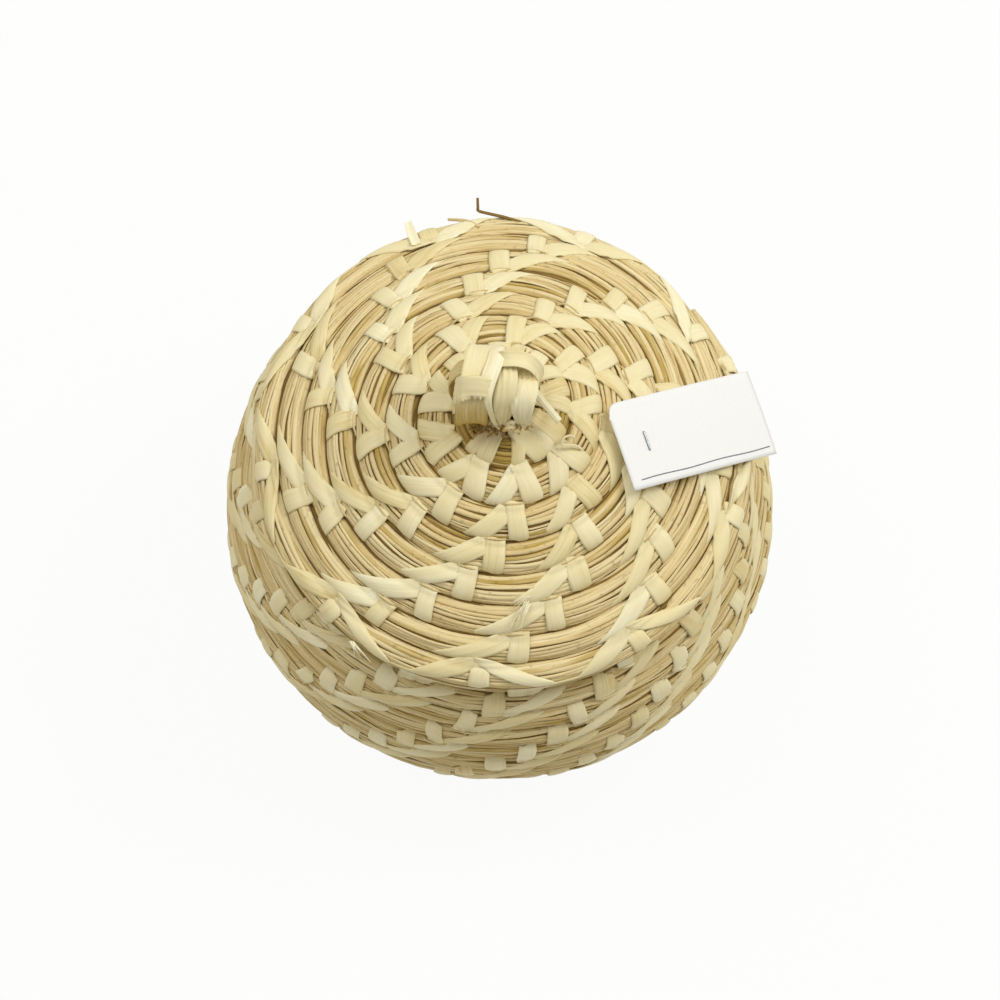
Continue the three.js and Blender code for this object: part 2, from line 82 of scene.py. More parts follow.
class BasketFinish(bpy.types.PropertyGroup):
    stem_light: FloatVectorProperty(
        name="Light Stem", description="Bleached bear grass", size=3, subtype="COLOR",
        default=linear("#E8D7A5"))
    stem_mid: FloatVectorProperty(
        name="Mid Stem", description="Dried bear grass", size=3, subtype="COLOR",
        default=linear("#D8C18A"))
    stem_dark: FloatVectorProperty(
        name="Dark Stem", description="Weathered bear grass", size=3, subtype="COLOR",
        default=linear("#B29545"))
    # The brown of stain, which also paints the shade around the knob's foot
    stain_and_shade: FloatVectorProperty(
        name="Stain and Shade", description="Grass and leaf browned by stain and darkened as painted shade", size=3,
        subtype="COLOR", default=linear("#94703C"))
    # Dark brown painted as the shade deep between the stems; the grass's specks use it too
    gap: FloatVectorProperty(
        name="Bundle Inside", description="Grass deep between the stems", size=3, subtype="COLOR",
        default=linear("#6A4D18"))
    leaf_light: FloatVectorProperty(
        name="Light Leaf", description="Bleached split yucca", size=3, subtype="COLOR",
        default=linear("#EADFB3"))
    leaf_white: FloatVectorProperty(
        name="White Leaf", description="Split yucca bleached nearly white", size=3, subtype="COLOR",
        default=linear("#F1E9C4"))
    leaf_mid: FloatVectorProperty(
        name="Mid Leaf", description="Dried split yucca", size=3, subtype="COLOR",
        default=linear("#E2D19B"))
    leaf_dark: FloatVectorProperty(
        name="Dark Leaf", description="Veins and tucked ends of the split yucca", size=3, subtype="COLOR",
        default=linear("#C2A250"))
    card: FloatVectorProperty(
        name="Card", description="Uncoated paper card", size=3, subtype="COLOR",
        default=linear("#ECEBE5"))


# The coil's geometry, in millimetres: the same meridians and winding as the solids have

ROW_GAP = 0.45
THICKNESS = 5.6
CLEARANCE = 0.3
BELLY_RADIUS = 62.0
# The wall's three arcs, from the base to the mouth: the radius of each and how far it turns
FOOT_ARC, FOOT_TURN = 18.0, math.radians(50)
LOWER_ARC, LOWER_TURN = 40.0, math.radians(40)
SHOULDER_ARC, MOUTH_LEAN = 70.0, math.radians(31)
LID_OVERHANG = 1.1
CROWN_SLOPE, EDGE_SLOPE = math.radians(20), math.radians(34)
SEAT_PITCH, SEAT_THICKNESS, SEAT_PLAY = 5.4, 4.0, 0.9
# The lid's rows begin part of a turn later and widen towards the knob
LID_FIRST_TURN, LID_WIDENING = 0.425, 0.0565
# A row climbs to the next one in this last share of its turn
CLIMB_SHARE = 0.3
# The bundle begins this part of a turn after the first row does
COIL_START = 0.36
# The bundle ends where half its width has thinned out to this
TAIL_HALF = 0.6
# The tail's upper edge dips by this share of what the row has climbed past the last full one
TAIL_DIP = 0.2
BACK = math.radians(90)
# How far the seam between two rows strays by hand
SEAM_STRAY = 0.17
# How much thinner the bundle is on its outer side under the base, so that the splints lie flush there
BASE_FLUSH = 0.42
# Stain and painted shade brown the lid about this far from its middle, around the knob's foot
STAIN_AND_SHADE_RADIUS = 13
# The power of the bundle's rounded section: 2 is an ellipse
SQUARENESS = 2.3
BASKET_ROWS, LID_ROWS = 18, 8
# Stitches in one turn, and how far each row's stitches stand past those of the row before
LID_STITCHES, LID_SHIFT = 9, math.radians(10.3)
BASKET_STITCHES, BASKET_SHIFT = 14, math.radians(6)
# Rows of stitches on the wall, and on the lid between the knob and the edge row
WALL_SEWN_ROWS, LID_SEWN_ROWS = 12, 6
# The turns on the base and on the lid inside which the coil is too tight to be sewn
BASE_UNSEWN, LID_UNSEWN = 1.1, 1.15
# A slanting splint spans this share of the way to the next stitch
SLANT_SHARE = 0.68
# The knob stands this far behind the lid's middle
KNOB_SETBACK = 1.7
# A splint's mesh: columns across it and its thickness, and how far its end reaches into the older row
STRIP_COLUMNS = 9
STRIP_THICKNESS = 0.28
INTO_OLDER = 1.3
# Tones run from the brown of stain and painted shade at this value, over 0 for dark, to 1 for the palest
STAIN_AND_SHADE_TONE = -0.4


class Meridian:
    """Straight stretches and arcs in the half plane of radius and height."""

    def __init__(self, radius, height, heading, stretches):
        rows = []
        start = 0.0
        for length, turn in stretches:
            rows.append((start, radius, height, heading, length, turn))
            if turn:
                arc = length / turn
                end = heading + turn
                radius += arc * (math.sin(end) - math.sin(heading))
                height += arc * (math.cos(heading) - math.cos(end))
                heading = end
            else:
                radius += length * math.cos(heading)
                height += length * math.sin(heading)
            start += length
        self.rows = np.array(rows)
        self.length = start

    def at(self, distance):
        distance = np.asarray(distance, float)
        index = np.clip(np.searchsorted(self.rows[:, 0], distance, side="right") - 1, 0, len(self.rows) - 1)
        start, radius, height, heading, length, turn = np.moveaxis(self.rows[index], -1, 0)
        along = distance - start
        bend = np.where(turn == 0, 1e-9, turn)
        arc = length / bend
        end = heading + along / arc
        return (radius + arc * (np.sin(end) - np.sin(heading)),
                height + arc * (np.cos(heading) - np.cos(end)), end)


def eased(share):
    return share * share * (3 - 2 * share)


def edge_pitch(length, rows, first=0.0, widening=0.0):
    wound = rows - first
    return length / (wound * (1 + widening * wound / 2))


def half_width(pitch, rows):
    return (pitch * (1 - (1 - CLIMB_SHARE) / rows) - ROW_GAP) / 2


class Coil:
    """A bundle wound along a meridian. Places on it are turns, across the row, and out."""

    def __init__(self, path, rows, hand, outside, thickness, first=0.0, widening=0.0, ring=False,
                 flat_until=0.0, worn=0.0, middle_stain_and_shade=0.0):
        self.path, self.rows, self.hand, self.outside = path, rows, hand, outside
        self.thickness, self.ring, self.flat_until, self.widening = thickness, ring, flat_until, widening
        self.stray = 0.0 if ring else SEAM_STRAY
        self.worn, self.middle_stain_and_shade = worn, middle_stain_and_shade
        self.start = 0.0 if ring else first + COIL_START
        self.pitch = edge_pitch(path.length, rows, first, widening)
        self.full = self.half_of(self.pitch)
        self.end = rows + 1

    def half_of(self, pitch):
        return (pitch - ROW_GAP) / 2 if self.ring else half_width(pitch, self.rows)

    def widest(self, turns):
        """The place of a row's middle along the meridian, and half its full width there."""
        turns = np.minimum(turns, self.end - 1e-9)
        part = turns - np.floor(turns)
        raised = eased(np.maximum(0, (part - (1 - CLIMB_SHARE)) / CLIMB_SHARE))
        even = 1.0 if self.ring else np.maximum(0, (turns - 1) / self.rows)
        left = self.rows - (turns - even * (part - raised))
        climbed = self.path.length - self.pitch * left * (1 + self.widening * left / 2)
        return climbed, self.half_of(self.pitch * (1 + self.widening * left))

    def sway(self, turns):
        """How far the seam between a row and the next one strays, by hand, from an even line."""
        angle = 2 * math.pi * turns
        line = np.sin(1.7 * angle + 1) + np.sin(2.63 * angle + 2.2) + 0.8 * np.sin(4.9 * angle + 0.4)
        settled = (np.clip((turns - self.start - 0.3) / 1.5, 0, 1)
                   * np.clip((self.rows - 0.3 - turns) / 0.7, 0, 1))
        return self.stray * line * settled

    def row(self, turns):
        """The place of a row's middle along the meridian, and half its width, thinner at the tail."""
        climbed, full = self.widest(turns)
        over = np.maximum(0, climbed - self.path.length)
        half = full - over * (1 + TAIL_DIP) / 2
        below, above = self.sway(turns - 1), self.sway(turns)
        return climbed - full + half + (above + below) / 2, half + (above - below) / 2

    def reach(self, turns):
        """Half the row's width and half the gap to the next row."""
        return self.row(turns)[1] + ROW_GAP / 2

    def radius(self, turns):
        return self.path.at(self.row(turns)[0])[0]

    def stain_and_painted_shade(self, turns):
        """How much darker the coil is: painted shade all over the basket, and stain with painted shade near
        the lid's middle.
        """
        return self.worn + self.middle_stain_and_shade * np.exp(-(self.radius(turns) / STAIN_AND_SHADE_RADIUS) ** 2)

    def bottom(self, turns):
        """Half the thickness on the outer side, less under the base, where the splints lie flush."""
        distance = self.row(turns)[0]
        share = eased(np.clip((distance - self.flat_until + 3) / 12, 0, 1))
        return self.thickness / 2 - (BASE_FLUSH * (1 - share) if self.flat_until else 0.0)

    def place(self, turns, across, out):
        distance, _ = self.row(turns)
        radius, height, heading = self.path.at(distance)
        angle = BACK + self.hand * 2 * math.pi * (turns - self.end)
        r = radius + across * np.cos(heading) + out * self.outside * np.sin(heading)
        z = height + across * np.sin(heading) - out * self.outside * np.cos(heading)
        return np.stack([r * np.cos(angle), r * np.sin(angle), z], -1)


BASE_LENGTH = BELLY_RADIUS - LOWER_ARC * (1 - math.cos(LOWER_TURN)) - FOOT_ARC * math.cos(LOWER_TURN)
# The basket's coil is darkened a little all over: painted shade on the wall
BASKET = Coil(Meridian(0, THICKNESS / 2, 0, [
    (BASE_LENGTH, 0), (FOOT_ARC * FOOT_TURN, FOOT_TURN), (LOWER_ARC * LOWER_TURN, LOWER_TURN),
    (SHOULDER_ARC * MOUTH_LEAN, MOUTH_LEAN)]), BASKET_ROWS, -1, 1, THICKNESS, flat_until=BASE_LENGTH,
    worn=0.04)
MOUTH_RADIUS, MOUTH_HEIGHT, MOUTH_HEADING = (float(v) for v in BASKET.path.at(BASKET.path.length))
MOUTH_TOP = MOUTH_HEIGHT + BASKET.full / 2 * math.sin(MOUTH_HEADING) - THICKNESS / 2 * math.cos(MOUTH_HEADING)
LID_EDGE_RADIUS = MOUTH_RADIUS + LID_OVERHANG
LID_ARC = LID_EDGE_RADIUS / (math.sin(EDGE_SLOPE) - math.sin(CROWN_SLOPE))
LID_LENGTH = LID_ARC * (EDGE_SLOPE - CROWN_SLOPE)
LID_RISE = LID_ARC * (math.cos(CROWN_SLOPE) - math.cos(EDGE_SLOPE))
LID_HALF = half_width(edge_pitch(LID_LENGTH, LID_ROWS, LID_FIRST_TURN, LID_WIDENING), LID_ROWS)
LID_EDGE_HEIGHT = (MOUTH_TOP + CLEARANCE + LID_HALF / 2 * math.sin(EDGE_SLOPE)
                   + THICKNESS / 2 * math.cos(EDGE_SLOPE))
# The lid is darkened towards its middle: stain and painted shade around the knob's foot
LID = Coil(Meridian(0, LID_EDGE_HEIGHT + LID_RISE, -CROWN_SLOPE, [(LID_LENGTH, CROWN_SLOPE - EDGE_SLOPE)]),
           LID_ROWS, 1, -1, THICKNESS, first=LID_FIRST_TURN, widening=LID_WIDENING, middle_stain_and_shade=0.85)


def lid_slope(radius):
    return math.asin(radius / LID_ARC + math.sin(CROWN_SLOPE))


def lid_middle(radius):
    return LID_EDGE_HEIGHT + LID_RISE - LID_ARC * (math.cos(CROWN_SLOPE) - math.cos(lid_slope(radius)))


def lid_top(radius):
    return lid_middle(radius) + THICKNESS / 2 / math.cos(lid_slope(radius))


MOUTH_INSIDE = (MOUTH_RADIUS - THICKNESS / 2 * math.sin(MOUTH_HEADING)
                + BASKET.full / 2 * math.cos(MOUTH_HEADING))
SEAT_RADIUS = MOUTH_INSIDE - SEAT_PLAY - SEAT_THICKNESS / 2
SEAT_EDGE = SEAT_RADIUS + SEAT_THICKNESS / 2
SEAT_TOP = (lid_middle(SEAT_EDGE) - THICKNESS / 2 / math.cos(lid_slope(SEAT_EDGE))
            - CLEARANCE - (SEAT_PITCH - ROW_GAP) / 4)
SEAT = Coil(Meridian(SEAT_RADIUS, SEAT_TOP, math.radians(-90), [(SEAT_PITCH, 0)]), 1, 1, -1,
            SEAT_THICKNESS, ring=True)


def stitch_turns(coil, lines, shift, count):
    """The turns between two stitches, and each stitch's place from the coil's end inwards."""
    step = (1 - shift / (2 * math.pi)) / lines
    last = coil.end - CLIMB_SHARE + step
    return step, last - step * np.arange(count)


# Meshes


class Shape:
    """Gathers points, faces, texture places in millimetres and a tone for each point."""

    def __init__(self):
        self.points, self.faces, self.uvs, self.tones = [], [], [], []
        self.count = 0

    def add(self, points, faces, uvs, tones):
        points = np.asarray(points, float).reshape(-1, 3)
        self.points.append(points)
        self.faces.append(np.asarray(faces, int) + self.count)
        self.uvs.append(np.asarray(uvs, float).reshape(-1, 2))
        self.tones.append(np.broadcast_to(np.asarray(tones, float).reshape(-1), (len(points),)))
        self.count += len(points)

    def shift(self, change):
        self.points = [change(part) for part in self.points]

    def build(self, name, material, body, slot, nodes=()):
        points = np.concatenate(self.points) * MM
        faces = np.concatenate(self.faces)
        mesh = bpy.data.meshes.new(name)
        mesh.vertices.add(len(points))
        mesh.vertices.foreach_set("co", points.ravel())
        mesh.loops.add(faces.size)
        mesh.loops.foreach_set("vertex_index", faces.ravel())
        mesh.polygons.add(len(faces))
        mesh.polygons.foreach_set("loop_start", np.arange(len(faces)) * 4)
        mesh.update(calc_edges=True)
        mesh.polygons.foreach_set("use_smooth", np.full(len(faces), True))
        layer = mesh.uv_layers.new(name="grain")
        layer.data.foreach_set("uv", np.concatenate(self.uvs)[faces.ravel()].ravel())
        tone = mesh.attributes.new("tone", "FLOAT", "POINT")
        tone.data.foreach_set("value", np.concatenate(self.tones))
        mesh.materials.append(material)
        mesh.validate()
        piece = bpy.data.objects.new(name, mesh)
        bpy.context.scene.collection.objects.link(piece)
        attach(piece, body)
        if nodes:
            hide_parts(*nodes)
        return piece


def unit(vectors):
    return vectors / np.linalg.norm(vectors, axis=-1, keepdims=True)


def lengths_along(line):
    """How far along a line each of its points lies."""
    return np.cumsum(np.linalg.norm(np.diff(line, axis=0, prepend=line[:1]), axis=-1))


def ring_faces(rings, sides):
    """Quads of a tube whose rings have the given number of points, with folded quads at its ends."""
    ring = np.arange(rings - 1)[:, None] * sides
    side = np.arange(sides)[None, :]
    following = (side + 1) % sides
    quads = np.stack(np.broadcast_arrays(ring + side, ring + following, ring + sides + following,
                                         ring + sides + side), -1).reshape(-1, 4)
    ends = []
    for base, turned in ((0, True), ((rings - 1) * sides, False)):
        for k in range(1, sides - 2, 2):
            quad = [base, base + k, base + k + 1, base + k + 2]
            ends.append(quad[::-1] if turned else quad)
    return np.concatenate([quads, np.array(ends)])


def wave(distance, rng, lengths=(37.0, 71.0, 131.0)):
    """A smooth random line between about -1 and 1."""
    total = np.zeros_like(distance)
    for length in lengths:
        varied = length * rng.uniform(0.8, 1.25)
        total += np.sin(2 * math.pi * distance / varied + rng.uniform(0, 2 * math.pi))
    return total / len(lengths)


def section_point(angle, a, b, power=SQUARENESS):
    c, s = np.cos(angle), np.sin(angle)
    return a * np.sign(c) * np.abs(c) ** (2 / power), b * np.sign(s) * np.abs(s) ** (2 / power)


def surface(across, a, b, power=SQUARENESS):
    """How far out the bundle's surface is at a distance across the row."""
    return b * (1 - np.clip(np.abs(across / a), 0, 1) ** power) ** (1 / power)


def taut_surface(across, a, b):
    """The same for a splint drawn over the row and on to the older row, which bridges the groove."""
    own = surface(across, 1.05 * a, b)
    older = surface(across + 2 * a, 1.05 * a, b)
    bridge = b * 0.86
    near = np.exp(-((across + a) / (0.42 * a)) ** 2)
    return np.maximum(np.where(across > -a, own, older), bridge * near)


def coil_stations(coil):
    """Turns from the coil's start to its tail, 0.9 to 2.4 mm apart."""
    turns, now = [], coil.start
    while coil.row(now)[1] > TAIL_HALF:
        turns.append(now)
        radius = max(1.0, float(coil.radius(now)))
        now += float(np.clip(0.12 * radius, 0.9, 2.4)) / (2 * math.pi * radius)
    return np.array(turns)


def wind_bundle(coil, stitches, stems, share, stem_width, seed):
    """Every stem of a bundle as a thin tube that wanders along the coil, and the bundle's inside.

    The share says how many stems go into one piece.
    """
    rng = np.random.default_rng(seed)
    turns = coil_stations(coil)
    radius = np.maximum(1.0, coil.radius(turns))
    steps = np.diff(turns) * 2 * math.pi * (radius[1:] + radius[:-1]) / 2
    distance = np.concatenate([[0], np.cumsum(steps)])
    # The stems press a little into those of the next row
    reach = coil.reach(turns) * 1.1
    fullness = np.clip(reach / (coil.widest(turns)[1] + ROW_GAP / 2), 0.15, 1)
    # The splints draw the bundle together where they cross it
    nearest = np.full(len(turns), 99.0)
    for place in stitches:
        nearest = np.minimum(nearest, np.abs(turns - place) * 2 * math.pi * radius)
    pinch = 1 - 0.06 * np.exp(-(nearest / 3.2) ** 2)
    a = reach * pinch
    thinned = 0.35 + 0.65 * fullness
    out_side = coil.bottom(turns) * thinned * pinch
    in_side = coil.thickness / 2 * thinned * pinch
    pieces, core = [], Shape()
    twist = 0.5 * wave(distance, rng, (160.0, 260.0))
    # A stem is flattened: its corners lie nearer to its sides than to its middle
    corner = np.radians([0, 50, 130, 180, 230, 310])
    raised, aside = 0.48 * np.sin(corner), 0.56 * np.cos(corner)
    widths = rng.uniform(0.55, 1.45, stems)
    places = np.cumsum(widths) - widths / 2
    for stem in range(stems):
        if stem % share == 0:
            pieces.append(Shape())
        width = stem_width * widths[stem] * (0.5 + 0.5 * fullness) * (1 + 0.1 * wave(distance, rng))
        # One stem in six roams over its neighbours
        roams = rng.random() < 1 / 6
        angle = (2 * math.pi * places[stem] / widths.sum() + twist
                 + (0.36 if roams else 0.09) * wave(distance, rng) + 0.05 * wave(distance, rng, (19.0, 29.0)))
        sunk = 0.2 * wave(distance, rng) + 0.12 * wave(distance, rng, (13.0, 23.0)) - (0.12 if roams else 0)
        # A stem ends inside the bundle, and another one comes up in its place with its own tone
        tone = np.zeros_like(distance)
        start = -rng.uniform(0, 150)
        while start < distance[-1]:
            end = start + rng.uniform(90, 260)
            tone[(distance >= start) & (distance < end)] = np.clip(rng.normal(0.5, 0.2), 0.16, 0.95)
            sunk = sunk + 0.3 * np.exp(-((distance - end) / rng.uniform(1.5, 3)) ** 2)
            start = end
        b = np.where(np.sin(angle) > 0, out_side, in_side)
        # Beside the next row the stems stay full, so that the seam closes
        inner = width * 0.46 + np.clip(sunk, -0.14, 0.45) * fullness * (0.3 + 0.7 * np.abs(np.sin(angle)))
        across, out = section_point(angle, np.maximum(0.12, a - inner), np.maximum(0.12, b - inner))
        away = unit(np.stack([np.cos(angle) / a, np.sin(angle) / b], -1))
        across = across[:, None] + width[:, None] * (raised * away[:, :1] - aside * away[:, 1:])
        out = out[:, None] + width[:, None] * (raised * away[:, 1:] + aside * away[:, :1])
        points = coil.place(turns[:, None] + 0 * across, across, out)
        uvs = np.stack(np.broadcast_arrays(distance[:, None] + 37.0 * stem, stem * 2.0 + corner / 6.3), -1)
        # The stems are darkened by the coil's painted shade and stain, down to the brown tone
        tones = np.clip(tone - coil.stain_and_painted_shade(turns), STAIN_AND_SHADE_TONE, 1)[:, None] + 0 * corner
        pieces[-1].add(points, ring_faces(len(turns), len(corner)), uvs, tones)
    # The inside of the bundle closes the gaps between the stems, and the seam to the next row; its dark brown
    # is painted shade
    core_sides = 12
    ring = np.arange(core_sides) * 2 * math.pi / core_sides
    b_out, b_in = out_side - 0.62 * stem_width, in_side - 0.62 * stem_width
    b = np.where(np.sin(ring)[None, :] > 0, b_out[:, None], b_in[:, None])
    wide = reach + 0.35 * fullness
    across, out = section_point(ring[None, :], np.maximum(0.1, wide)[:, None], np.maximum(0.1, b), 2.0)
    points = coil.place(turns[:, None] + 0 * across, across, out)
    uvs = np.stack(np.broadcast_arrays(distance[:, None], ring[None, :]), -1)
    core.add(points, ring_faces(len(turns), core_sides), uvs, 0.5)
    return pieces, core


def strip_faces(rows, columns):
    """Faces of a thin closed strip: a top sheet, a bottom sheet and the sides between them."""
    top = np.arange(rows * columns).reshape(rows, columns)
    bottom = top + rows * columns

    def quads(sheet):
        return np.stack([sheet[:-1, :-1], sheet[:-1, 1:], sheet[1:, 1:], sheet[1:, :-1]], -1).reshape(-1, 4)

    edge = np.concatenate([top[0, :], top[1:, -1], top[-1, -2::-1], top[-2:0:-1, 0]])
    low = np.concatenate([bottom[0, :], bottom[1:, -1], bottom[-1, -2::-1], bottom[-2:0:-1, 0]])
    sides = np.stack([edge, np.roll(edge, -1), np.roll(low, -1), low], -1)[:, ::-1]
    return np.concatenate([quads(top), quads(bottom)[:, ::-1], sides])


def lay_strip(shape, coil, turns, along, across, width, lift, crown, tone, side=1, over_older=False,
              fold=0.0):
    """A splint on a row: its middle line along and across the row, its width and its height over it."""
    middle, _, heading = (float(value) for value in coil.path.at(coil.row(turns)[0]))
    a = coil.reach(turns)
    span = np.stack([np.gradient(along), np.gradient(across)], -1)
    span /= np.linalg.norm(span, axis=-1, keepdims=True) + 1e-9
    c = np.linspace(-1, 1, STRIP_COLUMNS)
    forward = along[:, None] - span[:, 1:] * c * width[:, None] / 2
    aside = np.clip(across[:, None] + span[:, :1] * c * width[:, None] / 2, -1.6 * a, 1.02 * a)
    # The radius at the splint itself, because the rows at the middle curve much across its width
    local = np.maximum(middle + 0.8 * aside * math.cos(heading), 0.45 * middle)
    where = turns - forward / (2 * math.pi * np.maximum(local, 1.0))
    b = coil.bottom(where) if side > 0 else coil.thickness / 2
    out = taut_surface(aside, a, b) if over_older else surface(aside, 1.06 * a, b)
    out = out + lift[:, None] + crown * (1 - np.abs(c) ** 2.4) + fold
    top = coil.place(where, aside, side * out)
    bottom = coil.place(where, aside, side * (out - STRIP_THICKNESS))
    step = np.hypot(np.diff(along, prepend=along[0]), np.diff(across, prepend=across[0]))
    # Each splint has its own stretch of grain
    u = np.cumsum(step)[:, None] + 0 * c + 53.0 * turns
    uvs = np.stack([u, c * width[:, None] / 2], -1)
    faces = strip_faces(len(along), STRIP_COLUMNS)
    shape.add(np.concatenate([top.reshape(-1, 3), bottom.reshape(-1, 3)]),
              faces if side * coil.hand * coil.outside < 0 else faces[:, ::-1],
              np.concatenate([uvs, uvs]), tone)


def band(shape, coil, turns, width, rng, lean=0.0, side=1, lift=0.3, reach=1.0, onto=0.0):
    """A splint over the row: one end tucked in at the newer edge, the other sewn into the older row."""
    a = coil.reach(turns)
    count = 19
    q = np.linspace(0, math.pi, count)
    across = a * np.cos(q) * np.where(np.cos(q) > 0, reach, 1)
    if onto:
        across = across + np.where(across < 0, across / a * onto, 0)
    along = lean * across / a + rng.normal(0, 0.12) + 0.12 * np.sin(q * 2 + rng.uniform(0, 6))
    # The end at the older row is tucked under its stems
    tucked = np.exp(-((math.pi - q) / 0.24) ** 2)
    raise_by = (lift * np.sin(q) ** 0.5 + 0.2 * np.exp(-(q / 0.3) ** 2) - 0.06
                - (0.9 if onto else -0.1) * tucked)
    w = np.full(count, width) * (1 - 0.1 * np.cos(q) ** 4 + 0.03 * np.sin(3 * q + rng.uniform(0, 6)))
    fold = rng.normal(0, 0.07) * np.linspace(-1, 1, STRIP_COLUMNS)
    lay_strip(shape, coil, turns, along, across, w, raise_by, rng.uniform(0.16, 0.3),
              stitch_tone(coil, turns, rng), side=side, over_older=bool(onto), fold=fold)


def tone_of(rng):
    return float(np.clip(rng.normal(0.5, 0.15), 0.25, 0.8))


def stitch_tone(coil, turns, rng):
    """A splint's own tone, a little darker where stain and painted shade darken the grass."""
    return max(0.28, tone_of(rng) - 0.25 * float(coil.stain_and_painted_shade(turns)))


def slant(shape, coil, turns, spacing, width, rng, onto, top=1.0):
    """A splint that comes out beside the stitch's head and slants back under the next row."""
    a = coil.reach(turns)
    q = np.linspace(0, 1, 23)
    tip = min(SLANT_SHARE * spacing, 6.2 + 0.3 * spacing) * (1 + rng.normal(0, 0.07))
    begin = 0.24 * width
    foot = -(a + 0.45 * onto)
    lying = (tip - begin) / math.hypot(tip - begin, a - foot)
    end = a + 0.45 * width * lying if top == 1.0 else top * a
    across = foot + (end - foot) * q
    along = begin + (tip - begin) * (across - foot) / (a - foot)
    # Bowed, tapering towards the far end, sunk at both ends, twisted and creased along its length
    bow = rng.normal(0.05, 0.06) * a * np.sin(math.pi * q)
    w = width * rng.uniform(0.84, 1.04) * (1 - 0.16 * q) * np.minimum(1, 0.86 + 0.9 * q)
    lift = 0.14 - 0.3 * np.exp(-(q / 0.12) ** 2) - 0.2 * np.exp(-((1 - q) / 0.12) ** 2)
    c = np.linspace(-1, 1, STRIP_COLUMNS)
    twist = rng.normal(0.06, 0.1)
    crease = rng.uniform(0, 0.2) * np.exp(-((c[None, :] - rng.uniform(-0.5, 0.5)) / 0.16) ** 2)
    fold = (twist * c[None, :] + crease) * np.sin(math.pi * q)[:, None]
    lay_strip(shape, coil, turns, along, across + bow, w, lift, rng.uniform(0.16, 0.3),
              stitch_tone(coil, turns, rng), over_older=True, fold=fold)


def cover_stem(shape, coil, turns, reach, rng):
    """The outermost stem of the older row, which lies over the heads of a stitch."""
    a = coil.reach(turns)
    along = np.linspace(-reach - 0.8, reach + 1.8, 11)
    middle = (along[0] + along[-1]) / 2
    raised = np.exp(-((along - middle) / (0.72 * (along[-1] - middle))) ** 6)
    across = -(a + 0.62 * INTO_OLDER) + rng.normal(0, 0.12) + 0.1 * np.sin(along * 0.7 + rng.uniform(0, 6))
    out = taut_surface(across, a, coil.bottom(turns)) - 0.7 + 1.05 * raised
    where = turns - along / (2 * math.pi * max(coil.radius(turns) - a, 1.0))
    lay_fibre(shape, coil.place(where, across, out), rng.uniform(0.24, 0.34),
              np.clip(rng.normal(0.6, 0.15), 0, 1), taper=0.5)


def sew_rows(coil, step, places, rng, splint, leaf, stems, inside=True):
    """The stitches of some rows: slants first, then the bands over their ends, and the stems over both."""
    shape = Shape()
    for turns in places:
        radius = float(coil.radius(turns))
        spacing = 2 * math.pi * step * radius
        turns = turns + rng.normal(0, 0.3) / (2 * math.pi * radius)
        # Splints are narrower where the stitches crowd, and simpler at the mouth under the lid's edge
        share = min(1.0, spacing / 7.2)
        mouth = coil is BASKET and turns > coil.rows - CLIMB_SHARE / 2
        slant(shape, coil, turns, spacing, leaf * min(1.0, spacing / 9), rng, INTO_OLDER - 0.3,
              top=0.35 if mouth else 1.0)
        band(shape, coil, turns, splint * share * rng.uniform(0.87, 1.13), rng,
             lean=rng.normal(0, 0.42), reach=0.45 if mouth else 1.0, onto=INTO_OLDER + rng.normal(0, 0.15))
        if radius > 22:
            cover_stem(stems, coil, turns, splint * share / 2, rng)
        if inside:
            band(shape, coil, turns + 0.1 * step, 0.9 * splint * share, rng, lean=1.2, side=-1, lift=0.25,
                 reach=0.6 if mouth else 1.0)
    return shape


def through(points, count):
    """A smooth line through points, which may have any number of values each."""
    points = np.asarray(points, float)
    padded = np.concatenate([[2 * points[0] - points[1]], points, [2 * points[-1] - points[-2]]])
    place = np.linspace(0, len(points) - 1, count)
    index = np.minimum(place.astype(int), len(points) - 2)
    t = (place - index)[:, None]
    p0, p1, p2, p3 = padded[index], padded[index + 1], padded[index + 2], padded[index + 3]
    return 0.5 * (2 * p1 + (p2 - p0) * t + (2 * p0 - 5 * p1 + 4 * p2 - p3) * t ** 2
                  + (3 * p1 - p0 - 3 * p2 + p3) * t ** 3)


def fold_leaf(shape, points, rng, origin, tone=0.5, crown=0.5, pleats=0.05, ragged=0.0, frayed_edge=0.0,
              count=44):
    """A leaf through points of place, width and the direction of its width. Its tone may change along it."""
    thick, columns = 0.3, 15
    line = through([place for place, _, _ in points], count)
    width = through([[wide] for _, wide, _ in points], count)[:, 0]
    side = through([across for _, _, across in points], count)
    tangent = unit(np.gradient(line, axis=0))
    side = unit(side - (side * tangent).sum(-1, keepdims=True) * tangent)
    normal = np.cross(tangent, side)
    c = np.linspace(-1, 1, columns)
    half = width[:, None] / 2 * c
    if frayed_edge:
        bite = frayed_edge * np.abs(rng.normal(0, 1, count)) * (np.sin(np.arange(count) * 1.7) > -0.2)
        half = half - np.where(c > 0.85, bite[:, None], 0)
    spread = c * width[:, None]
    rib = (pleats * np.sin(spread * 2.6 + rng.uniform(0, 6))
           + 0.5 * pleats * np.sin(spread * 6.1 + rng.uniform(0, 6)))
    up = crown * (1 - c ** 2) + rib
    top = line[:, None] + side[:, None] * half[..., None] + normal[:, None] * up[..., None]
    if ragged:
        pull = ragged * rng.uniform(-1, 0.4, columns)
        top[-1] += tangent[-1] * pull[:, None]
        top[-2] += 0.5 * tangent[-1] * pull[:, None]
    bottom = top - normal[:, None] * thick
    uvs = np.stack(np.broadcast_arrays(lengths_along(line)[:, None] + rng.uniform(0, 300), half + 9.0), -1)
    both = np.concatenate([top.reshape(-1, 3), bottom.reshape(-1, 3)]) + origin
    along = np.interp(np.linspace(0, 1, count), np.linspace(0, 1, np.size(tone)), np.atleast_1d(tone))
    tones = np.repeat(along, columns)
    shape.add(both, strip_faces(count, columns)[:, ::-1], np.concatenate([uvs, uvs]),
              np.concatenate([tones, tones]))


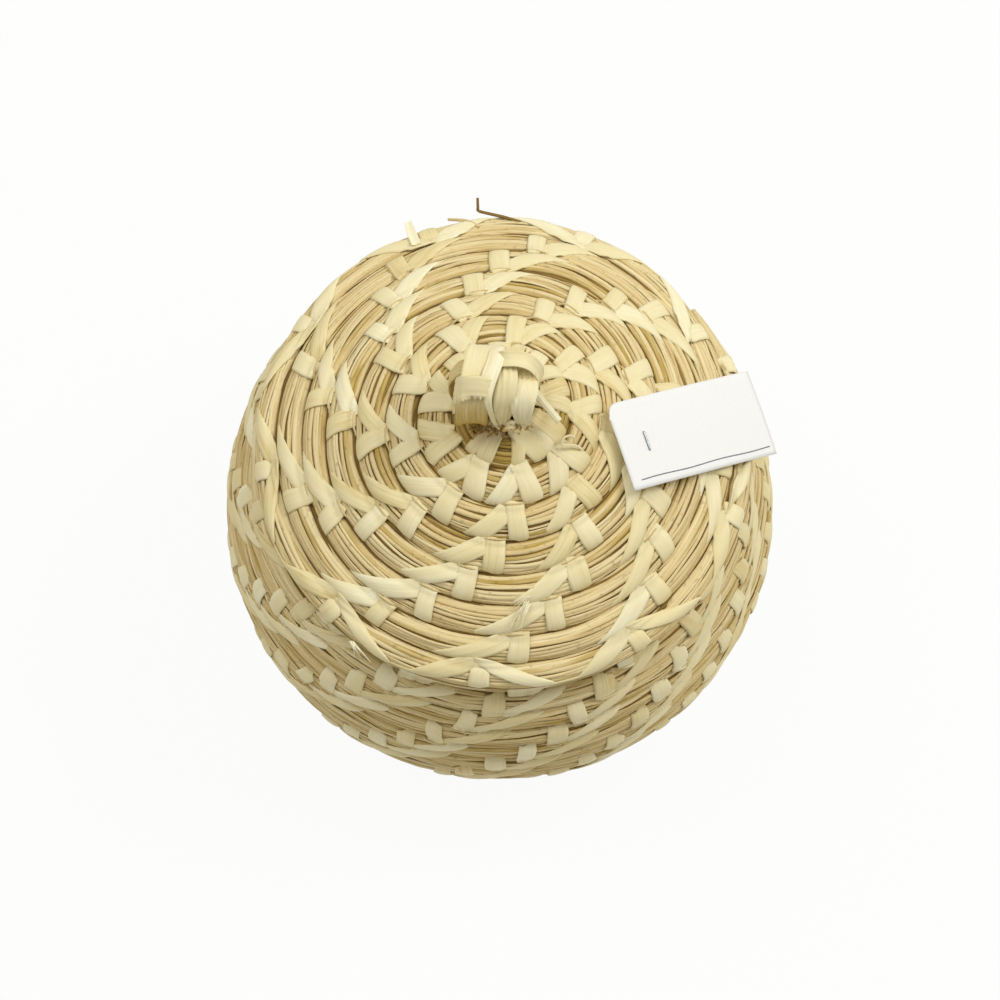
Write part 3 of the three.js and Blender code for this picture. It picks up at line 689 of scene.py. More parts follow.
def lay_fibre(shape, points, radius, tone, count=24, sides=6, taper=0.4):
    """A thin round fibre along a smooth line."""
    line = through(points, count)
    tangent = unit(np.gradient(line, axis=0))
    # Any direction that no fibre runs in serves to start the ring from
    first = unit(np.cross(tangent, np.array([0.31, 0.17, 0.93])))
    second = np.cross(tangent, first)
    angle = np.arange(sides) * 2 * math.pi / sides
    thin = radius * (1 - (1 - taper) * np.linspace(0, 1, count) ** 2)
    ring = (line[:, None] + thin[:, None, None] * (np.cos(angle)[None, :, None] * first[:, None]
                                                   + np.sin(angle)[None, :, None] * second[:, None]))
    uvs = np.stack(np.broadcast_arrays(lengths_along(line)[:, None], angle[None, :]), -1)
    shape.add(ring, ring_faces(count, sides), uvs, tone)


def lean_wall(points):
    """The wall of a hand-coiled basket isn't quite true: it leans a little, and stands on the table."""
    mouth_height = 71
    share = np.sin(math.pi * np.clip(points[:, 2] / mouth_height, 0, 1))
    moved = points.copy()
    moved[:, 0] -= 1.0 * share
    moved[:, 1] -= 0.5 * share
    moved[:, 2] = np.maximum(moved[:, 2], 0.03)
    return moved


# Materials


def add_node(owner, kind, settings=None, **inputs):
    """Adds a node with its settings, and sets or links its inputs. An input is given by name or as i0, i1."""
    node = owner.node_tree.nodes.new(kind)
    for name, value in (settings or {}).items():
        if name == "stops":
            elements = node.color_ramp.elements
            while len(elements) < len(value):
                elements.new(0.5)
            for element, (place, colour) in zip(elements, value):
                element.position, element.color = place, (*colour, 1.0)
        else:
            setattr(node, name, value)
    for name, value in inputs.items():
        numbered = name[0] == "i" and name[1:].isdigit()
        socket = node.inputs[int(name[1:]) if numbered else name.replace("_", " ")]
        if isinstance(value, bpy.types.NodeSocket):
            owner.node_tree.links.new(value, socket)
        else:
            socket.default_value = value
    return node


def new_material(name):
    """The material of this name, and whether it is new and still empty."""
    material = bpy.data.materials.get(name)
    if material:
        return material, False
    material = bpy.data.materials.new(name)
    material.use_nodes = True
    material.node_tree.nodes.clear()
    return material, True


def streaks(material, scale, **noise):
    """Noise in the piece's own millimetres, drawn out along the grain by the scale."""
    places = add_node(material, "ShaderNodeUVMap", {"uv_map": "grain"})
    scaled = add_node(material, "ShaderNodeMapping", Vector=places.outputs["UV"], Scale=(*scale, 1))
    return add_node(material, "ShaderNodeTexNoise", {"noise_dimensions": "2D"},
                    Vector=scaled.outputs["Vector"], Scale=1.0, **noise).outputs["Fac"]


def toned_colour(material, patterns, middle, stops):
    """The colour for the piece's own tone, varied by patterns whose sum is about the middle."""
    level = add_node(material, "ShaderNodeAttribute", {"attribute_name": "tone"}).outputs["Fac"]
    for pattern, share in patterns:
        level = add_node(material, "ShaderNodeMath", {"operation": "MULTIPLY_ADD"},
                         i0=pattern, i1=share, i2=level).outputs["Value"]
    level = add_node(material, "ShaderNodeMath", {"operation": "SUBTRACT"}, i0=level, i1=middle)
    place = add_node(material, "ShaderNodeMapRange", Value=level.outputs["Value"],
                     From_Min=STAIN_AND_SHADE_TONE, From_Max=1.0)
    return add_node(material, "ShaderNodeValToRGB", {"stops": stops},
                    Fac=place.outputs["Result"]).outputs["Color"]


def finish_surface(material, **inputs):
    """The material's shader and its output."""
    shader = add_node(material, "ShaderNodeBsdfPrincipled", **inputs)
    add_node(material, "ShaderNodeOutputMaterial", Surface=shader.outputs["BSDF"])
    return material


def dried_grass(finish):
    """Bear grass, cut and sun dried: narrow tan stems with fine lengthwise ribs and a few brown specks."""
    material, fresh = new_material("Bear grass, sun dried stems")
    if not fresh:
        return material
    # Ribs 0.25 mm apart, patches about 15 mm long, and specks 2 mm long
    rib = streaks(material, (0.1, 4.2), Detail=3.0, Roughness=0.6)
    patch = streaks(material, (0.065, 0.4), Detail=2.0)
    speck = streaks(material, (0.5, 2.2), Detail=1.0)
    clean = toned_colour(material, [(rib, 0.8), (patch, 0.5)], 0.65, [
        (0.0, finish.stain_and_shade), (0.286, finish.stem_dark), (0.586, finish.stem_mid), (0.964, finish.stem_light)])
    few = add_node(material, "ShaderNodeMapRange", Value=speck, From_Min=0.66, From_Max=0.8, To_Min=0.0,
                   To_Max=0.3)
    colour = add_node(material, "ShaderNodeMix", {"data_type": "RGBA"}, i0=few.outputs["Result"],
                      i6=clean, i7=(*finish.gap, 1.0))
    bump = add_node(material, "ShaderNodeBump", Height=rib, Strength=0.7, Distance=0.00014)
    return finish_surface(material, Base_Color=colour.outputs["Result"], Roughness=0.62,
                          Specular_IOR_Level=0.18, Normal=bump.outputs["Normal"])


def bundle_inside(finish):
    """Stems deep in the bundle: the same grass, painted dark brown as the shade between the outer stems."""
    material, fresh = new_material("Bear grass, inside of the bundle, painted shade")
    if not fresh:
        return material
    # Streaks 0.11 mm apart
    stops = [(0.35, finish.gap), (1.0, finish.stem_dark)]
    colours = add_node(material, "ShaderNodeValToRGB", {"stops": stops},
                       Fac=streaks(material, (0.1, 9.0), Detail=2.0))
    return finish_surface(material, Base_Color=colours.outputs["Color"], Roughness=0.8)


def split_leaf(finish, name="Yucca leaf, split and bleached", shade=0.0):
    """Yucca leaf, split, dried and sewn damp: cream, with fine veins along it and a faint waxy sheen."""
    material, fresh = new_material(name)
    if not fresh:
        return material
    # Veins about 0.4 mm apart, finer fibres 0.15 mm apart, and patches about 12 mm long
    vein = streaks(material, (0.05, 2.4), Detail=2.0, Roughness=0.5)
    fibre = streaks(material, (0.12, 6.5), Detail=2.0)
    patch = streaks(material, (0.085, 0.35), Detail=3.0)
    # A positive shade darkens the leaf's tone: painted shade for pieces under others
    colour = toned_colour(material, [(vein, 0.4), (fibre, 0.25), (patch, 0.5)], 0.5 + shade, [
        (0.0, finish.stain_and_shade), (0.286, finish.leaf_dark), (0.557, finish.leaf_mid), (0.857, finish.leaf_light),
        (1.0, finish.leaf_white)])
    height = add_node(material, "ShaderNodeMath", {"operation": "MULTIPLY_ADD"}, i0=fibre, i1=0.35, i2=vein)
    bump = add_node(material, "ShaderNodeBump", Height=height.outputs["Value"], Strength=0.55,
                    Distance=0.00012)
    return finish_surface(material, Base_Color=colour, Roughness=0.5, Specular_IOR_Level=0.28,
                          Normal=bump.outputs["Normal"])


def paper_card(finish):
    """Uncoated paper board, cut: off white, matt, with a faint felt of fibres."""
    material, fresh = new_material("Paper board, uncoated and cut")
    if not fresh:
        return material
    # Paper fibres are drawn 0.5 mm across, coarser than real, so that they show at all
    felt = streaks(material, (2.0, 2.0), Detail=4.0)
    shaded = tuple(0.96 * value for value in finish.card)
    colours = add_node(material, "ShaderNodeValToRGB", {"stops": [(0.25, shaded), (0.7, finish.card)]},
                       Fac=felt)
    bump = add_node(material, "ShaderNodeBump", Height=felt, Strength=0.1, Distance=0.00003)
    return finish_surface(material, Base_Color=colours.outputs["Color"], Roughness=0.85,
                          Normal=bump.outputs["Normal"])


def plain_material(name, hex_colour, roughness, metallic=0.0):
    """A simple finish with a faint unevenness over the surface, in patches about 0.7 mm across."""
    material, fresh = new_material(name)
    if not fresh:
        return material
    colour = linear(hex_colour)
    shaded = tuple(0.92 * value for value in colour)
    colours = add_node(material, "ShaderNodeValToRGB", {"stops": [(0.3, shaded), (0.7, colour)]},
                       Fac=streaks(material, (1.5, 1.5), Detail=3.0))
    return finish_surface(material, Base_Color=colours.outputs["Color"], Roughness=roughness,
                          Metallic=metallic)


# Operators


class BASKET_OT_wind_bundles(bpy.types.Operator):
    """Wind the grass bundles of the basket, the lid and the seat under the lid"""
    bl_idname = "basket.wind_bundles"
    bl_label = "Wind Bundles"

    def execute(self, context):
        sizes, finish = context.scene.basket_sizes, context.scene.basket_finish
        grass, inside = dried_grass(finish), bundle_inside(finish)
        stem = sizes.stem_width / MM
        _, basket_places = stitch_turns(BASKET, BASKET_STITCHES, BASKET_SHIFT,
                                        (BASKET_ROWS - 1) * BASKET_STITCHES)
        _, lid_places = stitch_turns(LID, LID_STITCHES, LID_SHIFT, (LID_ROWS + 1) * LID_STITCHES)
        # Each bundle: the stitches that draw it together, its stems, how many go into one piece, and the seed
        for name, coil, places, stems, share, body, seed in (
                ("basket_coil", BASKET, basket_places, sizes.stems, 7, "basket", 3),
                ("lid_coil", LID, lid_places, sizes.stems, 13, "lid", 5),
                ("lid_seat_coil", SEAT, np.linspace(0, 2, 45), sizes.stems - 3, 25, "lid", 7)):
            pieces, core = wind_bundle(coil, places, stems, share, stem, seed)
            if body == "basket":
                # Short stems, five side by side and three deep, close the eye where the base begins
                for number in range(15):
                    x, z = 0.6 + 0.9 * (number // 3), 1.3 + 1.5 * (number % 3)
                    bent = [(x + 0.4, 3.4, z), (x + 0.1, 0.4, z), (x - 0.6, -2.4, z)]
                    lay_fibre(pieces[0], bent, 0.85, 0.45, count=10, taper=0.8)
                for shape in (*pieces, core):
                    shape.shift(lean_wall)
            for number, shape in enumerate(pieces):
                shape.build(f"{name.replace('coil', 'bundle')}_{number + 1}", grass, body, "grass_bundle",
                            [name] if number == 0 else [])
            core.build(name.replace("coil", "bundle_inside"), inside, body, "grass_bundle")
        return {"FINISHED"}


class BASKET_OT_sew_basket(bpy.types.Operator):
    """Sew the rows of the basket's wall and base with split leaf"""
    bl_idname = "basket.sew_basket"
    bl_label = "Sew Basket"

    def execute(self, context):
        sizes, finish = context.scene.basket_sizes, context.scene.basket_finish
        leaf = split_leaf(finish)
        rng = np.random.default_rng(11)
        splint, slant_width = sizes.splint_width / MM, sizes.slant_width / MM
        step, places = stitch_turns(BASKET, BASKET_STITCHES, BASKET_SHIFT,
                                    (BASKET_ROWS - 1) * BASKET_STITCHES)
        on_wall, on_base = np.split(places, [WALL_SEWN_ROWS * BASKET_STITCHES])
        stems = Shape()
        for row, part in enumerate(on_wall.reshape(WALL_SEWN_ROWS, BASKET_STITCHES), 1):
            # The wall's slants are narrower than the lid's
            shape = sew_rows(BASKET, step, part, rng, splint, 0.82 * slant_width, stems)
            shape.shift(lean_wall)
            shape.build(f"basket_stitches_{row:02d}", leaf, "basket", "split_leaf",
                        [f"basket_splint_{row:02d}"])
        base = Shape()
        for turns in on_base[on_base >= BASE_UNSEWN]:
            radius = float(BASKET.radius(turns))
            share = min(1.0, 2 * math.pi * step * radius / 9.5)
            for side in (1, -1):
                band(base, BASKET, turns, splint * share, rng, lean=0.6 * side, side=side, lift=0.24)
        base.shift(lean_wall)
        base.build("base_stitches", leaf, "basket", "split_leaf")
        stems.shift(lean_wall)
        stems.build("basket_seam_stems", dried_grass(finish), "basket", "grass_bundle")
        return {"FINISHED"}


class BASKET_OT_sew_lid(bpy.types.Operator):
    """Sew the rows of the lid with split leaf"""
    bl_idname = "basket.sew_lid"
    bl_label = "Sew Lid"

    def execute(self, context):
        sizes, finish = context.scene.basket_sizes, context.scene.basket_finish
        leaf = split_leaf(finish)
        rng = np.random.default_rng(23)
        splint, slant_width = sizes.splint_width / MM, sizes.slant_width / MM
        step, places = stitch_turns(LID, LID_STITCHES, LID_SHIFT, (LID_ROWS + 1) * LID_STITCHES + 1)
        # The edge row's own stitches come first, and are laced
        first = LID_STITCHES + 1
        _, between, near = np.split(places, [first, first + LID_SEWN_ROWS * LID_STITCHES])
        stems = Shape()
        for row, part in enumerate(between.reshape(LID_SEWN_ROWS, LID_STITCHES), 1):
            shape = sew_rows(LID, step, part, rng, splint, slant_width, stems)
            shape.build(f"lid_stitches_{row:02d}", leaf, "lid", "split_leaf", [f"lid_splint_{row:02d}"])
        # Around the knob the stitches stand less evenly, and some are hidden or left out
        near = [turns + rng.normal(0, 0.012) for turns in near[near > LID_UNSEWN]]
        near = [turns for turns in near if rng.random() > 0.25]
        crown = sew_rows(LID, step, near, rng, splint, slant_width, stems, inside=False)
        crown.build("lid_crown_stitches", leaf, "lid", "split_leaf")
        stems.build("lid_seam_stems", dried_grass(finish), "lid", "grass_bundle")
        seat = Shape()
        for turns in np.arange(0.05, 1.85, 1 / 22):
            for side in (1, -1):
                band(seat, SEAT, turns, 0.9 * splint, rng, lean=0.5 * side, side=side, lift=0.2)
        seat.build("lid_seat_stitches", leaf, "lid", "split_leaf")
        return {"FINISHED"}


class BASKET_OT_lace_edge(bpy.types.Operator):
    """Lace the lid's edge row: straight stitches and a zigzag that folds over at the edge"""
    bl_idname = "basket.lace_edge"
    bl_label = "Lace Lid Edge"

    def execute(self, context):
        sizes, finish = context.scene.basket_sizes, context.scene.basket_finish
        leaf = split_leaf(finish)
        rng = np.random.default_rng(31)
        splint, wide = sizes.splint_width / MM, sizes.slant_width / MM
        step, places = stitch_turns(LID, LID_STITCHES, LID_SHIFT, LID_STITCHES + 1)
        spacing = 2 * math.pi * step * LID_EDGE_RADIUS
        a = LID.full + ROW_GAP / 2
        shape = Shape()
        q = np.linspace(0, 1, 21)
        head = -(a + 0.9)
        for number, turns in enumerate(places):
            if number < len(places) - 1:
                thin, fold = spacing * 0.42, spacing * (0.58 + rng.normal(0, 0.015))
                # Out from the stitch's head, narrowing and twisting along the edge to the fold
                along = 0.2 + (fold - 0.2) * q
                out_share = np.clip(along / thin, 0, 1)
                across = head + (0.93 * a - head) * out_share - 0.12 * np.sin(math.pi * q)
                w = wide * np.interp(q, [0, 0.2, 0.42, 0.72, 1], [0.5, 0.92, 0.9, 0.3, 0.24])
                lift = 0.2 - 0.45 * np.exp(-(q / 0.05) ** 2)
                lay_strip(shape, LID, turns, along, across, w, lift, 0.3, tone_of(rng), over_older=True)
                # From the fold straight back in to the next stitch's head
                along = fold - 0.7 + (spacing + 0.5 - fold) * q
                across = 0.98 * a + (head - 0.98 * a) * np.clip(q * 1.05, 0, 1)
                w = wide * np.interp(q, [0, 0.06, 0.5, 0.8, 1], [0.3, 0.56, 0.84, 0.74, 0.4])
                lift = 0.36 - 0.5 * np.exp(-((1 - q) / 0.05) ** 2)
                lay_strip(shape, LID, turns, along, across, w, lift, 0.3, tone_of(rng), over_older=True,
                          fold=0.16 * np.linspace(-1, 1, STRIP_COLUMNS) * np.sin(math.pi * q)[:, None])
                # Under the edge from the fold
                under = 1 - q
                along = fold - 0.3 + 2.0 * q
                across = a * (0.62 - 1.3 * q)
                w = wide * 0.7 * np.clip(0.6 + under, 0, 1)
                lay_strip(shape, LID, turns, along, across, w, 0.1 + 0 * q, 0.2, tone_of(rng), side=-1)
            lean = rng.normal(0, 0.3)
            band(shape, LID, turns, splint * rng.uniform(0.95, 1.05), rng, lean=lean, onto=0.15)
            band(shape, LID, turns, 0.95 * splint, rng, lean=lean, side=-1, lift=0.25)
        shape.build("lid_edge_stitches", leaf, "lid", "split_leaf", ["lid_edge_lacing"])
        return {"FINISHED"}


class BASKET_OT_fold_knob(bpy.types.Operator):
    """Fold the knob of wide leaf strips on top of the lid"""
    bl_idname = "basket.fold_knob"
    bl_label = "Fold Knob"

    def execute(self, context):
        finish = context.scene.basket_finish
        leaf = split_leaf(finish)
        # A darker copy of the leaf paints the shade on knob pieces that lie under others
        shaded = split_leaf(finish, "Yucca leaf, darkened as painted shade", 0.3)
        rng = np.random.default_rng(41)
        origin = np.array([0, KNOB_SETBACK, lid_top(0)])
        x, y = (1, 0, 0), (0, 1, 0)
        # Each leaf: the nodes that it replaces, its material and look, and the place, the width and the
        # direction of the width at points along it
        pieces = {
            # The left lobe's tone runs from brown at its foot to light at its top: painted shade and light
            "knob_left_lobe": (["knob_left_leaf"], leaf, dict(
                tone=(-0.3, 0.05, 0.42, 0.62, 0.66), crown=0.45, pleats=0.07), [
                ((-5.0, -4.8, -1.2), 4.6, x), ((-6.7, -7.4, 1.6), 6.0, x), ((-7.0, -7.9, 5.0), 6.9, x),
                ((-7.0, -7.1, 9.0), 7.1, x), ((-6.6, -5.3, 12.0), 7.0, x), ((-5.8, -1.9, 13.6), 7.1, x),
                ((-4.9, 2.2, 13.8), 7.3, x), ((-4.3, 5.6, 12.6), 7.4, x), ((-3.8, 8.2, 9.0), 6.6, x),
                ((-3.6, 8.3, 4.0), 5.6, x), ((-3.2, 6.8, -2.2), 4.2, x)]),
            "knob_left_wrap": (["knob_left_band"], leaf, dict(
                tone=0.5, crown=0.25, pleats=0.04, frayed_edge=0.45), [
                ((-2.6, -3.9, 13.3), 4.6, (0, -0.8, -0.6)), ((-4.9, -4.0, 14.5), 5.2, (0, -0.8, -0.6)),
                ((-7.7, -3.8, 14.3), 5.3, (0, -0.8, -0.6)), ((-9.5, -3.7, 13.0), 5.4, (0, -0.85, -0.5)),
                ((-10.4, -3.6, 9.6), 5.2, (0, -0.95, -0.3)), ((-10.5, -3.0, 4.6), 4.6, (0, -1, 0)),
                ((-8.8, -2.2, -2.6), 3.8, (0, -1, 0))]),
            # The right lobe lies under the wrap: the darkened leaf and its low tone paint its shade
            "knob_right_lobe": (["knob_right_leaf"], shaded, dict(tone=0.2, crown=0.4, pleats=0.12), [
                ((3.4, -3.4, -1.2), 3.4, x), ((4.0, -4.0, 3.0), 4.4, x), ((4.2, -2.4, 7.2), 4.4, x),
                ((4.2, -0.4, 9.4), 4.0, x), ((4.2, 2.0, 10.2), 4.0, x), ((4.1, 5.0, 7.6), 4.4, x),
                ((3.6, 6.4, 2.0), 4.4, x), ((3.2, 5.6, -2.2), 3.6, x)]),
            "knob_right_wrap": (["knob_right_band"], leaf, dict(tone=0.5, crown=0.45, pleats=0.03), [
                ((-1.6, 3.0, 9.6), 3.0, (0.2, -1, 0)), ((-0.9, 2.9, 13.6), 3.4, (0.1, -1, 0)),
                ((0.6, 2.5, 15.0), 3.6, (0, -1, 0.05)), ((2.8, 2.4, 15.3), 3.7, (0, -0.98, 0.05)),
                ((4.9, 2.0, 14.8), 3.8, (0, -0.97, 0.05)), ((6.6, 1.4, 13.2), 3.8, (-0.15, -0.97, 0)),
                ((7.7, 0.8, 10.2), 3.7, (-0.25, -0.97, 0)), ((7.9, 0.6, 6.0), 3.4, (-0.2, -0.98, 0)),
                ((7.2, 0.8, 0.0), 3.0, (0, -1, 0))]),
            "knob_front_fold": (["knob_front_leaf"], leaf, dict(
                tone=(0.5, 0.5, 0.42, 0.3), crown=0.55, pleats=0.16), [
                ((0.4, 4.2, 12.6), 3.0, x), ((0.7, 1.2, 13.6), 4.2, (1, 0.1, 0.1)),
                ((0.5, -2.3, 13.7), 5.0, (1, 0.1, 0.2)), ((0.1, -5.2, 12.0), 5.2, (1, 0.1, 0.22)),
                ((-0.2, -6.8, 8.8), 4.6, (1, 0.1, 0.15)), ((-0.4, -7.6, 5.2), 3.2, x),
                ((-0.5, -7.6, 0.6), 1.6, x)]),
            "knob_tie": (["knob_knot"], leaf, dict(tone=(-0.4, 0.0, 0.6, 0.5, -0.4), crown=0.4, pleats=0.2), [
                ((-0.2, -7.0, -1.2), 1.4, y), ((0.0, -8.3, 1.6), 1.8, (0.2, 1, 0.3)),
                ((0.8, -8.5, 3.9), 2.1, (0, 1, 0.4)), ((2.0, -8.7, 4.3), 2.2, (0, 1, 0.2)),
                ((3.0, -8.8, 2.6), 1.9, y), ((3.2, -8.2, -1.0), 1.4, y)]),
            # The bright fold is the lobe's lit right part: its higher tone paints the light there
            "knob_bright_fold": ([], leaf, dict(tone=(0.72, 0.78, 0.76, 0.6, 0.5), crown=0.12, pleats=0.04), [
                ((-0.7, 7.2, 10.0), 2.8, x), ((-1.4, 5.6, 13.1), 3.2, (1, 0.15, 0.1)),
                ((-1.9, 2.3, 14.3), 3.7, (1, 0.15, 0.14)), ((-3.2, -1.8, 14.5), 3.4, (1, 0.2, 0.16)),
                ((-3.5, -5.3, 13.0), 2.0, (1, 0.1, 0.1)), ((-3.1, -7.0, 10.2), 1.3, (1, 0, -0.1)),
                ((-2.4, -7.9, 6.0), 1.1, x), ((-1.4, -8.2, 2.0), 0.8, x), ((-1.0, -7.6, -1.0), 0.6, x)]),
            # Under the torn leaf, darkened as painted shade
            "knob_inner_leaf": ([], shaded, dict(tone=0.55, crown=0.15, pleats=0.16, ragged=0.5), [
                ((4.4, 3.2, 11.8), 3.6, x), ((4.5, 1.0, 12.5), 3.9, x), ((4.8, -0.8, 12.3), 4.2, x),
                ((4.9, -2.4, 11.3), 4.2, x)]),
            "knob_back_leaf": ([], leaf, dict(tone=0.35, crown=0.4, pleats=0.08), [
                ((1.6, 4.0, 12.4), 4.6, (1, -0.1, 0)), ((1.8, 6.2, 11.4), 5.4, (1, -0.1, 0)),
                ((2.0, 7.8, 8.4), 5.8, (1, -0.1, 0)), ((2.1, 8.2, 4.2), 5.2, (1, -0.1, 0)),
                ((2.0, 7.0, -1.6), 4.0, (1, -0.1, 0))]),
            "knob_torn_leaf": ([], leaf, dict(tone=(0.6, 0.7, 0.75, 0.5), crown=0.1, pleats=0.16), [
                ((4.6, 0.2, 10.6), 4.8, (1, 0, -0.1)), ((4.7, -1.4, 12.4), 5.6, (1, -0.14, -0.1)),
                ((4.3, -3.6, 12.8), 6.0, (1, -0.15, -0.05)), ((3.9, -5.9, 11.9), 5.8, (1, -0.2, 0)),
                ((3.8, -7.7, 9.6), 4.6, (1, -0.2, 0)), ((4.1, -8.7, 6.0), 3.4, (1, -0.2, 0)),
                ((4.8, -8.4, 1.6), 1.4, x)]),
            # Its low tone paints the shade beside the left lobe
            "knob_side_leaf": ([], leaf, dict(tone=0.1, crown=0.3, pleats=0.06), [
                ((-10.9, 1.0, -2.4), 3.0, (0.3, 1, 0)), ((-11.6, 1.6, 1.6), 3.6, (0.2, 1, 0)),
                ((-11.4, 2.4, 5.2), 3.9, (0.2, 1, -0.1)), ((-9.8, 2.9, 8.4), 3.9, (0.1, 1, -0.2)),
                ((-7.8, 2.9, 10.2), 3.6, (0, 1, -0.3))]),
            "knob_loose_strip": ([], leaf, dict(tone=0.75, crown=0.2, pleats=0.05), [
                ((5.6, -1.0, 9.4), 1.3, (0.7, 0.7, 0)), ((6.9, -2.1, 7.4), 1.6, (0.7, 0.7, 0)),
                ((8.4, -3.5, 5.0), 1.6, (0.75, 0.65, 0)), ((10.2, -5.1, 3.4), 1.6, (0.75, 0.65, 0)),
                ((12.0, -6.9, 2.0), 1.5, (0.75, 0.65, 0))]),
        }
        for name, (nodes, material, look, points) in pieces.items():
            shape = Shape()
            fold_leaf(shape, points, rng, origin, **look)
            shape.build(name, material, "lid", "split_leaf", nodes)
        # The stems of the filling stand in a spiral round the middle, as seeds do in a flower
        core, stems = Shape(), 14
        for number in range(stems):
            angle = number * 2.4
            spread = 0.6 + 2.2 * math.sqrt(number / stems)
            foot = origin + (spread * math.cos(angle), spread * math.sin(angle), -1.4)
            top = foot + (rng.normal(0, 0.4), rng.normal(0, 0.4), 11.0 + rng.uniform(-1.5, 0.5))
            lay_fibre(core, [foot, (foot + top) / 2 + (rng.normal(0, 0.3), rng.normal(0, 0.3), 0), top],
                      1.15, 0.3, taper=0.8)
        # The filling takes the bundle inside's dark brown: painted shade in the knob's hollow
        core.build("knob_filling", bundle_inside(finish), "lid", "split_leaf", ["knob_core"])
        fray = Shape()
        # Pale fibres at the knot, then dark brown ones under the left leaf, stain and painted shade: count,
        # corners and tones. All take the leaf darkened as painted shade
        for count, low, high, darkest, palest in ((44, (-1.6, -8.6, 0.8), (5.4, -6.4, 4.6), -0.4, 0.7),
                                                  (34, (-7.6, -9.4, -1.0), (0.6, -6.8, 0.7), -0.22, 0.12)):
            for _ in range(count):
                foot = origin + rng.uniform(low, high)
                bend = rng.uniform(-0.9, 0.9, 3) * (1, 1, 0.6)
                tip = foot + bend + rng.uniform(-1, 1, 3) * (1.0, 0.9, 0.8) + (0, -0.2, 0.2)
                lay_fibre(fray, [foot, foot + bend, tip], rng.uniform(0.14, 0.36),
                          rng.uniform(darkest, palest), count=12)
        fray.build("knob_frayed_foot", shaded, "lid", "split_leaf")
        return {"FINISHED"}


class BASKET_OT_cut_card(bpy.types.Operator):
    """Cut the blank card tag, rule one line on it and staple it to the lid"""
    bl_idname = "basket.cut_card"
    bl_label = "Cut Card"

    def execute(self, context):
        finish = context.scene.basket_finish
        length, width, thick, inset = 42.0, 20.0, 0.4, 7.3
        radius, azimuth, turned = 39.9, math.radians(0.2), math.radians(22)
        slope = lid_slope(radius)
        splint_height = 0.5 + 0.55
        lift = THICKNESS / 2 + splint_height + CLEARANCE

        def turn(first, second, angle):
            return (first * math.cos(angle) - second * math.sin(angle),
                    first * math.sin(angle) + second * math.cos(angle))

        def to_lid(points):
            """From the card's own plane, its middle at the origin, to its place on the lid."""
            x, y, z = np.asarray(points, float).reshape(-1, 3).T
            x, y = turn(x, y, turned)
            z, x = turn(z + lift, x, slope)
            x, y = turn(x + radius, y, azimuth)
            return np.stack([x, y, z + lid_middle(radius)], -1)

        def curl(x, y):
            """The card's height over its plane: bent down towards its far end and its long edges."""
            return 0.3 - 0.9 * np.clip(2 * x / length, 0, 1) ** 2 - 0.25 * (2 * y / width) ** 2

        def lay_sheet(name, x, y, low, high, material, nodes=()):
            """A thin closed sheet that follows the curl, between two heights over the card's underside."""
            z = curl(x, y)
            both = [np.stack([x, y, z + height], -1).reshape(-1, 3) for height in (high, low)]
            places = np.stack([x, y], -1)
            sheet = Shape()
            sheet.add(to_lid(np.concatenate(both)), strip_faces(*x.shape)[:, ::-1],
                      np.concatenate([places, places]), 0.5)
            sheet.build(name, material, "label", "card", nodes)

        x, y = np.meshgrid(np.linspace(-length / 2, length / 2, 43), np.linspace(-width / 2, width / 2, 21),
                           indexing="ij")
        # The inner far corner is cut round, the others are nearly sharp
        corner = 3.2
        near = np.clip((-length / 2 + corner - x) / corner, 0, 1)
        y = np.where(y > width / 2 - corner, np.minimum(
            y, width / 2 - corner + corner * np.sqrt(1 - near ** 2)), y)
        lay_sheet("tag_card", x, y, 0.0, thick, paper_card(finish), ["label_card"])
        # A line 0.26 mm wide, ruled by hand near the card's lower edge
        x = np.linspace(-18.4, 19.6, 40)
        y = (-8.1 + 0.10 * np.sin(x * 0.35))[:, None] + np.array([-0.13, 0.13])
        lay_sheet("tag_ruled_line", x[:, None] + 0 * y, y, thick - 0.02, thick + 0.03,
                  plain_material("Pencil line on paper", "#77787C", 0.8))
        wire = Shape()
        x, leg, foot, height = inset - length / 2, 2.0, 0.25, thick + 0.42
        half = [(x, leg, foot), (x, leg + 0.02, height), (x, leg - 0.4, height + 0.1)]
        bent = [(x, -y, z) for x, y, z in half] + [(x, 0, height + 0.1)] + half[::-1]
        lay_fibre(wire, to_lid(bent), 0.25, 0.5, count=40, sides=8, taper=1.0)
        wire.build("tag_staple", plain_material("Steel wire, zinc plated", "#9A9CA1", 0.35, 1.0), "label",
                   "staple_wire", ["label_staple"])
        return {"FINISHED"}


